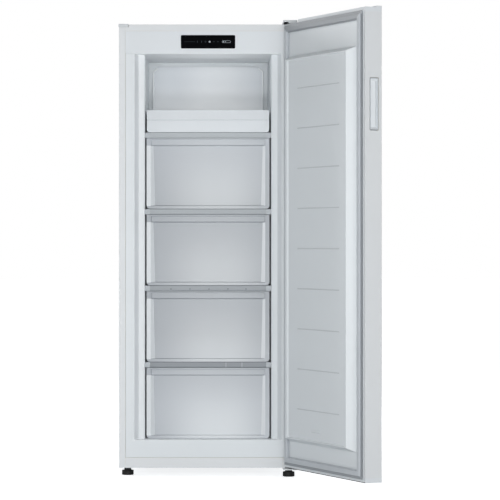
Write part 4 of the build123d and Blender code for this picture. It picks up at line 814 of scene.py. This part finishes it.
for x in (-115.7, -56.3, 3.0, 62.3, 118.6):
    z = LEVEL - 2 * PITCH - 11.3
    pins.append(rod("pin", (x, DRAWER_Y + 1, z), (x, DRAWER_Y + 0.1, z), 1.6, 16))
dress(join("shelf_trim_pins", pins), RUBBER_AND_SHADE, "shelf_trims")
for x in (56.0, 106.0):
    z = LEVEL - 3 * PITCH
    ends.append(block("clip", (x - 0.9, DRAWER_Y + 0.1, z - 17), (x + 0.9, DRAWER_Y + 1, z - 2)))
dress(join("shelf_trim_bars", bars), TRIM, "shelf_trims")
dress(join("shelf_trim_ends", ends), TRIM_END, "shelf_trims")
print("trims ready")

# %% [markdown]
# ## The door's inner liner
#
# The door's inside is one vacuum-formed sheet as well. A broad pad stands 30 mm proud of it, with sloping
# sides that meet in sharp mitres, and its middle is sunk a little between two narrow crests. Nine fine
# lines are pressed across the pad. The door is modelled shut, where its sides are straight, and every
# finished piece of it is swung about the hinge pins to where the open door stands.

# %% Door liner
DOOR_Y = -265.5
PAD_X, PAD_LOW, PAD_HIGH = 223.5, 112.0, 1296.0


def frame_scale(half, low, high, side, end):
    """The factors that take an upright rectangle in by one width at its sides and another at its ends."""
    return ((half - side) / half, 1, (high - low - 2 * end) / (high - low))


pad_middle = (0, 0, (PAD_LOW + PAD_HIGH) / 2)
pad = sheet("formed_door_liner", (-266.8, 266.8), (36.7, 1396.8), DOOR_Y + 1.5)
bpy.ops.object.mode_set(mode="EDIT")
bpy.ops.mesh.select_all(action="SELECT")
bpy.ops.mesh.flip_normals()
done()
for x in (-PAD_X, PAD_X):
    cut(pad, (x, 0, 0), (1, 0, 0))
for z in (PAD_LOW, PAD_HIGH):
    cut(pad, (0, 0, z), (0, 0, 1))
pick(pad, "FACE", lambda c, n: abs(c.x) < 10 and PAD_LOW < c.z < PAD_HIGH)
extrude(0, 28.5, 0)
scale(frame_scale(PAD_X, PAD_LOW, PAD_HIGH, 13, 13), pad_middle)
extrude(0, 0, 0)
scale(frame_scale(PAD_X - 13, PAD_LOW + 13, PAD_HIGH - 13, 11, 2.5), pad_middle)
extrude(0, -4, 0)
scale(frame_scale(PAD_X - 24, PAD_LOW + 15.5, PAD_HIGH - 15.5, 6, 2), pad_middle)
done()
print("door pad", len(pad.data.polygons), "faces")

# %% [markdown]
# The nine lines are strips between two cuts, pushed in by less than a millimetre. A bisect only cuts what
# is selected, so the sunk face is picked first and the rest of the sheet stays whole. At the end the flat
# shape gets the sheet's thickness and the small radius it takes over the mould's edges. A low moulded boss
# sits near the foot of the pad.

# %% Lines across the pad
SUNK_Y = DOOR_Y + 26
for number in range(9):
    z = 1192 - 121.7 * number
    for edge_z in (z - 1.5, z + 1.5):
        pick(pad, "FACE", lambda c, n: n.y > 0.99 and abs(c.y - SUNK_Y) < 0.1)
        bpy.ops.mesh.bisect(plane_co=mm(0, 0, edge_z), plane_no=(0, 0, 1))
        done()
    for edge_x in (-158, 131.5):
        pick(pad, "FACE", lambda c, n: abs(c.y - SUNK_Y) < 0.1 and abs(c.z - z) < 0.5)
        bpy.ops.mesh.bisect(plane_co=mm(edge_x, 0, 0), plane_no=(1, 0, 0))
        done()
    pick(pad, "FACE", lambda c, n: abs(c.y - SUNK_Y) < 0.1 and abs(c.z - z) < 0.5 and -150 < c.x < 120)
    extrude(0, -1.3, 0)
    done()
modify(pad, "SOLIDIFY", thickness=mm(1.5), offset=-1)
ease(pad, 0.9, 2, 12)
boss = block("boss", (-27, SUNK_Y - 0.5, 154), (27, SUNK_Y + 2.5, 162))
ease(boss, 1.4, 3)
pad = join("formed_door_liner", [pad, boss])


def gets_painted_shade(c, n):
    """Whether a face is in one of the lines, or on the underside of the boss."""
    line = n.y > 0.2 and SUNK_Y - 1.4 < c.y < SUNK_Y - 0.4 and abs(c.x) < 190
    under_boss = abs(c.x) < 28 and 153 < c.z < 160 and c.y > SUNK_Y + 0.1 and n.z < -0.1
    return line or under_boss


# The lines and the underside of the boss get the darker colour: painted shade.
paint(pad, gets_painted_shade, LINER, PAINTED_LINE_SHADE)
dress(swing(pad), None, "door_liner")
print("door liner", len(pad.data.polygons), "faces")

# %% [markdown]
# ## The gasket
#
# The magnetic gasket is a soft frame with welded, mitred corners: a thin flange with a hollow bulb on it
# that holds the magnet. It is drawn as one plane, inset three times. The second strip is raised and rounded
# for the bulb, and the flange's outer lip hangs free over a narrow shadow.

# %% Door gasket
seal = sheet("moulded_gasket", (-266.5, 266.5), (37.0, 1396.5), DOOR_Y + 6)
bpy.ops.object.mode_set(mode="EDIT")
bpy.ops.mesh.select_all(action="SELECT")
bpy.ops.mesh.flip_normals()
for width in (8.5, 15.5, 3.0):
    bpy.ops.mesh.inset(thickness=mm(width))
bpy.ops.mesh.delete(type="FACE")
done()
modify(seal, "SOLIDIFY", thickness=mm(1.1), offset=-1)


def on_bulb(c, reach=0.5):
    """Whether a face's centre lies in the strip that carries the bulb."""
    side = 242.5 - reach < abs(c.x) < 258 + reach
    end = not 61 + reach < c.z < 1372.5 - reach
    return (side or end) and abs(c.x) < 258 + reach and 45.5 - reach < c.z < 1388 + reach


pick(seal, "FACE", lambda c, n: n.y > 0.9 and on_bulb(c))
extrude(0, 5.6, 0)
done()
pick(seal, "FACE", lambda c, n: n.y < -0.9 and on_bulb(c))
extrude(0, -3.3, 0)
done()
pick(seal, "EDGE", lambda c, d: c.y > DOOR_Y + 11.5 and abs(d.y) < 0.1 and (abs(d.x) > 0.9 or abs(d.z) > 0.9))
bevel(2.6, 4)
done()
# The outer lip and the top run get the darker colour: painted shade.
paint(seal, lambda c, n: abs(c.x) > 258.5 or c.z < 45 or c.z > 1371, SEAL, SEAL_SHADE)
dress(swing(seal), None, "door_gasket")
print("gasket", len(seal.data.polygons), "faces")

# %% [markdown]
# ## The handle recess
#
# The handle is a plastic cup let into the door's free edge. A narrow groove runs round its rim. Its floor
# is deepest at the inner side, where the fingers hook in, and rises to a soft ridge before the outer side.

# %% Handle cup
cup = block("handle_cup", (-276.5, -308.9, 1048.6), (-253.0, -280.1, 1201.4))
pick(cup, "EDGE", lambda c, d: abs(d.x) > 0.9)
bevel(4, 5)
done()
pick(cup, "FACE", lambda c, n: n.x < -0.9)
bpy.ops.mesh.inset(thickness=mm(0.6))
extrude(3, 0, 0)
bpy.ops.mesh.inset(thickness=mm(1.6))
extrude(-3, 0, 0)
bpy.ops.mesh.inset(thickness=mm(0.6))
extrude(6, 0, 0)
scale((1, 0.92, 0.92), (0, -294.5, 1121))
done()
floor_x = -270.5
pick(cup, "FACE", lambda c, n: n.x < -0.9 and abs(c.x - floor_x) < 0.1)
bpy.ops.mesh.bisect(plane_co=mm(0, -299.5, 0), plane_no=(0, 1, 0))
done()
pick(cup, "VERT", lambda c, n: abs(c.x - floor_x) < 0.1 and abs(c.y + 299.5) < 0.1)
bpy.ops.transform.translate(value=mm(-4, 0, 0))
done()
ease(cup, 0.35, 2, 35)
# The floor of the groove gets the dark grey: painted shade in the narrow groove.
paint(cup, lambda c, n: n.x < -0.9 and abs(c.x + 273.5) < 0.2, MOULDED, SEAL_SHADE)
dress(swing(cup), None, "door_handle_insert")
print("handle cup", len(cup.data.polygons), "faces")

# %% [markdown]
# ## The front feet
#
# Each foot is a nylon glide with grip ribs round it, so that it can be turned by hand to level the cabinet.
# Between the ribs, two side faces of the cylinder in every four are pushed in.


# %% Feet
def foot(name, x, y, neck_top):
    made = rod(name, (x, y, 0), (x, y, 15), 18.2, 64)
    pick(made, "EDGE", lambda c, d: abs(d.z) < 0.1)
    bevel(1.6, 3)
    done()

    def between_ribs(c, n):
        """Whether a side face is one of the two in four that are pushed in."""
        return abs(n.z) < 0.1 and int((math.atan2(c.y - y, c.x - x) / math.tau * 64) % 64) % 4 < 2

    pick(made, "FACE", between_ribs)
    bpy.ops.mesh.extrude_region_shrink_fatten(TRANSFORM_OT_shrink_fatten={"value": mm(-0.9)})
    done()
    neck = rod("neck", (x, y, 14.5), (x, y, neck_top), 11, 48)
    return join(name, [made, neck])


dress(foot("left_glide", -250, -218.5, 23.6), BLACK, "left_front_foot")
dress(foot("right_glide", 249.5, -275, 20.1), BLACK, "right_front_foot")
print("feet ready")

# %% [markdown]
# ## The control fascia
#
# Over the liner runs a white moulded strip with the display let into it. The display is black glass with a
# matt coat against reflections, and its symbols are printed on the back in grey. They are plain marks here:
# dots, bars and rings.

# %% Fascia and display
fascia = from_solid("control_fascia", 1.2, 3)
dress(fascia, MOULDED, "control_fascia")
GLASS_Y = YF + 0.2
window = block("display_glass", (-84.4, GLASS_Y, 1325.5), (84.4, YF + 2.4, 1367.3))
pick(window, "EDGE", lambda c, d: abs(d.y) > 0.9)
bevel(3.9, 6)
done()
dress(window, BLACK_GLASS, "display_window")


def mark(x, width, height, sides=0):
    """A printed mark at x on the display's middle line: a bar, or a disc of some sides."""
    z = 1346.6
    if sides:
        return rod("mark", (x, GLASS_Y + 0.1, z), (x, GLASS_Y - 0.05, z), width / 2, sides)
    low = (x - width / 2, GLASS_Y - 0.05, z - height / 2)
    return block("mark", low, (x + width / 2, GLASS_Y + 0.1, z + height / 2))


def ring_mark(x, width, height, line=0.8):
    """A ring: a disc with an inset middle that is deleted."""
    made = mark(x, height, height, 32)
    pick(made, "FACE", lambda c, n: n.y > -0.9)
    bpy.ops.mesh.delete(type="FACE")
    pick(made, "FACE", lambda c, n: True)
    bpy.ops.mesh.inset(thickness=mm(line))
    bpy.ops.mesh.delete(type="FACE")
    done()
    for side in (-1, 1):
        pick(made, "VERT", lambda c, n: (c.x - x) * side > 0.01)
        bpy.ops.transform.translate(value=mm(side * (width - height) / 2, 0, 0))
        done()
    return made


faint = [mark(-72 + 3.4 * n, 1.4, 1.4) for n in range(10)]
faint += [mark(-33, 1.2, 6), mark(-20, 1.2, 6), ring_mark(-8, 5, 5), mark(18, 5, 1.1), mark(31, 5, 1.1)]
dress(join("display_marks", faint), INK, "display_window")
bright = [ring_mark(57, 27, 7), mark(48, 4, 4, 24), mark(54, 3, 3, 24), mark(5, 5.6, 5.6, 24)]
dress(join("display_lit_marks", bright), LIT_INK, "display_window")
print("display ready")

# %% [markdown]
# ## The corner cap and the hinge cover
#
# Both top front corners are prepared for a hinge, so the door can be hung on either side. The unused corner
# on the left is closed by a small grey cap, and the hinge on the right has a longer cover of the same
# plastic.

# %% Corner cap and hinge cover
cap = block("corner_cap_moulded", (-278.3, YF, 1392), (-246.5, -201.5, 1402.2))
ease(cap, 2.2, 4)
dress(cap, GREY, "corner_cap")
cover = from_solid("hinge_cover", 1.6, 4)
dress(cover, GREY, "hinge_cover")
print("caps ready")

# %% [markdown]
# ## The door's skin and its end caps
#
# The outer panel is one folded sheet like the cabinet's, and moulded caps close the top and the bottom of
# the door. A dark strip along the lower inner edge is painted shade, in the dark rubber finish. These three
# keep the measured shape: their doubled corners are merged, their flats are cleaned and their edges get the
# radius of a fold or a moulding.

# %% Door skin and end caps
for node, width, skin in (("door_outer_panel", 0.35, COATED), ("door_top_cap", 0.7, MOULDED)):
    dress(from_solid(node, width, 2), skin, node)
low_cap = from_solid("door_bottom_cap", 0)
cut(low_cap, (0, 0, 29.2), (0, 0, 1))
ease(low_cap, 0.5, 2)
# The strip along the lower inner edge gets the dark finish: painted shade.
paint(low_cap, lambda c, n: c.z < 29.3 and n.x < -0.8, MOULDED, RUBBER_AND_SHADE)
dress(low_cap, None, "door_bottom_cap")
print("door skin ready")

# %% [markdown]
# ## The duct cover
#
# The cover of the cold air duct is a flat white moulding on the rear wall, with slots in groups that let the
# air out at each level. The measured solid has the slots already, so a copy is merged and gets soft edges.
# A rounded bead runs up each long edge and turns in at the top; it is painted whiter than the cover, a painted
# highlight.

# %% Duct cover, kick plate and hinge hardware
DUCT_Y = REAR_Y - 8.0
dress(from_solid("duct_cover", 0.5, 2), DUCT, "duct_cover")
beads = []
for side in (-1, 1):
    corner = (side * 178.2, DUCT_Y - 0.2, 1279)
    beads.append(rod("bead", (side * 178.2, DUCT_Y - 0.2, 285), corner, 2.6, 16))
    beads.append(rod("bead", corner, (side * 165, DUCT_Y - 0.2, 1292.2), 2.6, 16))
# The beads get the whiter colour: a painted highlight along the cover's edges.
dress(join("duct_cover_beads", beads), PAINTED_LIGHT_WHITE, "duct_cover")
dress(from_solid("kick_plate", 0.3, 2), COATED, "kick_plate")
for node, skin in (("top_hinge_bracket", ZINC), ("lower_hinge_bracket", COATED)):
    dress(from_solid(node, 0.4, 2), skin, node)
dress(from_solid("glass_shelves", 0.5, 2), GLASS, "glass_shelves")
print("cover and hardware ready")

# %% [markdown]
# ## The back
#
# The machine bay at the bottom of the back is closed by a slotted cover, and everything in it is real: the
# compressor in its black enamel on rubber grommets, its pipes, the drip tray that its heat dries, and the
# two rollers that the cabinet is tipped onto. Their copies get soft edges, wider where the real piece is
# drawn or cast.

# %% Machine bay and back
for node, width in (
    ("machine_cover", 0.3), ("back_panel", 0.3), ("compressor", 6.0), ("terminal_cover", 2.0),
    ("drip_tray", 0.8), ("power_inlet", 0.6), ("left_rear_roller", 1.0), ("right_rear_roller", 1.0),
    ("rear_screws", 0.4), ("compressor_base", 0.4),
):
    dress(from_solid(node, width, 3), PALETTE[SLOT_OF[node]], node)
print("back ready")

# %% [markdown]
# ## The measured pieces that stay
#
# Pieces inside the machine bay and behind the covers already have their real shape, so they only need
# their finish.

# %% Finish the nodes that stay
for node, solid in NODES.items():
    if node not in DRESSED:
        solid.data.materials.clear()
        solid.data.materials.append(PALETTE[SLOT_OF[node]])
print(len(NODES) - len(DRESSED), "nodes keep their solid")
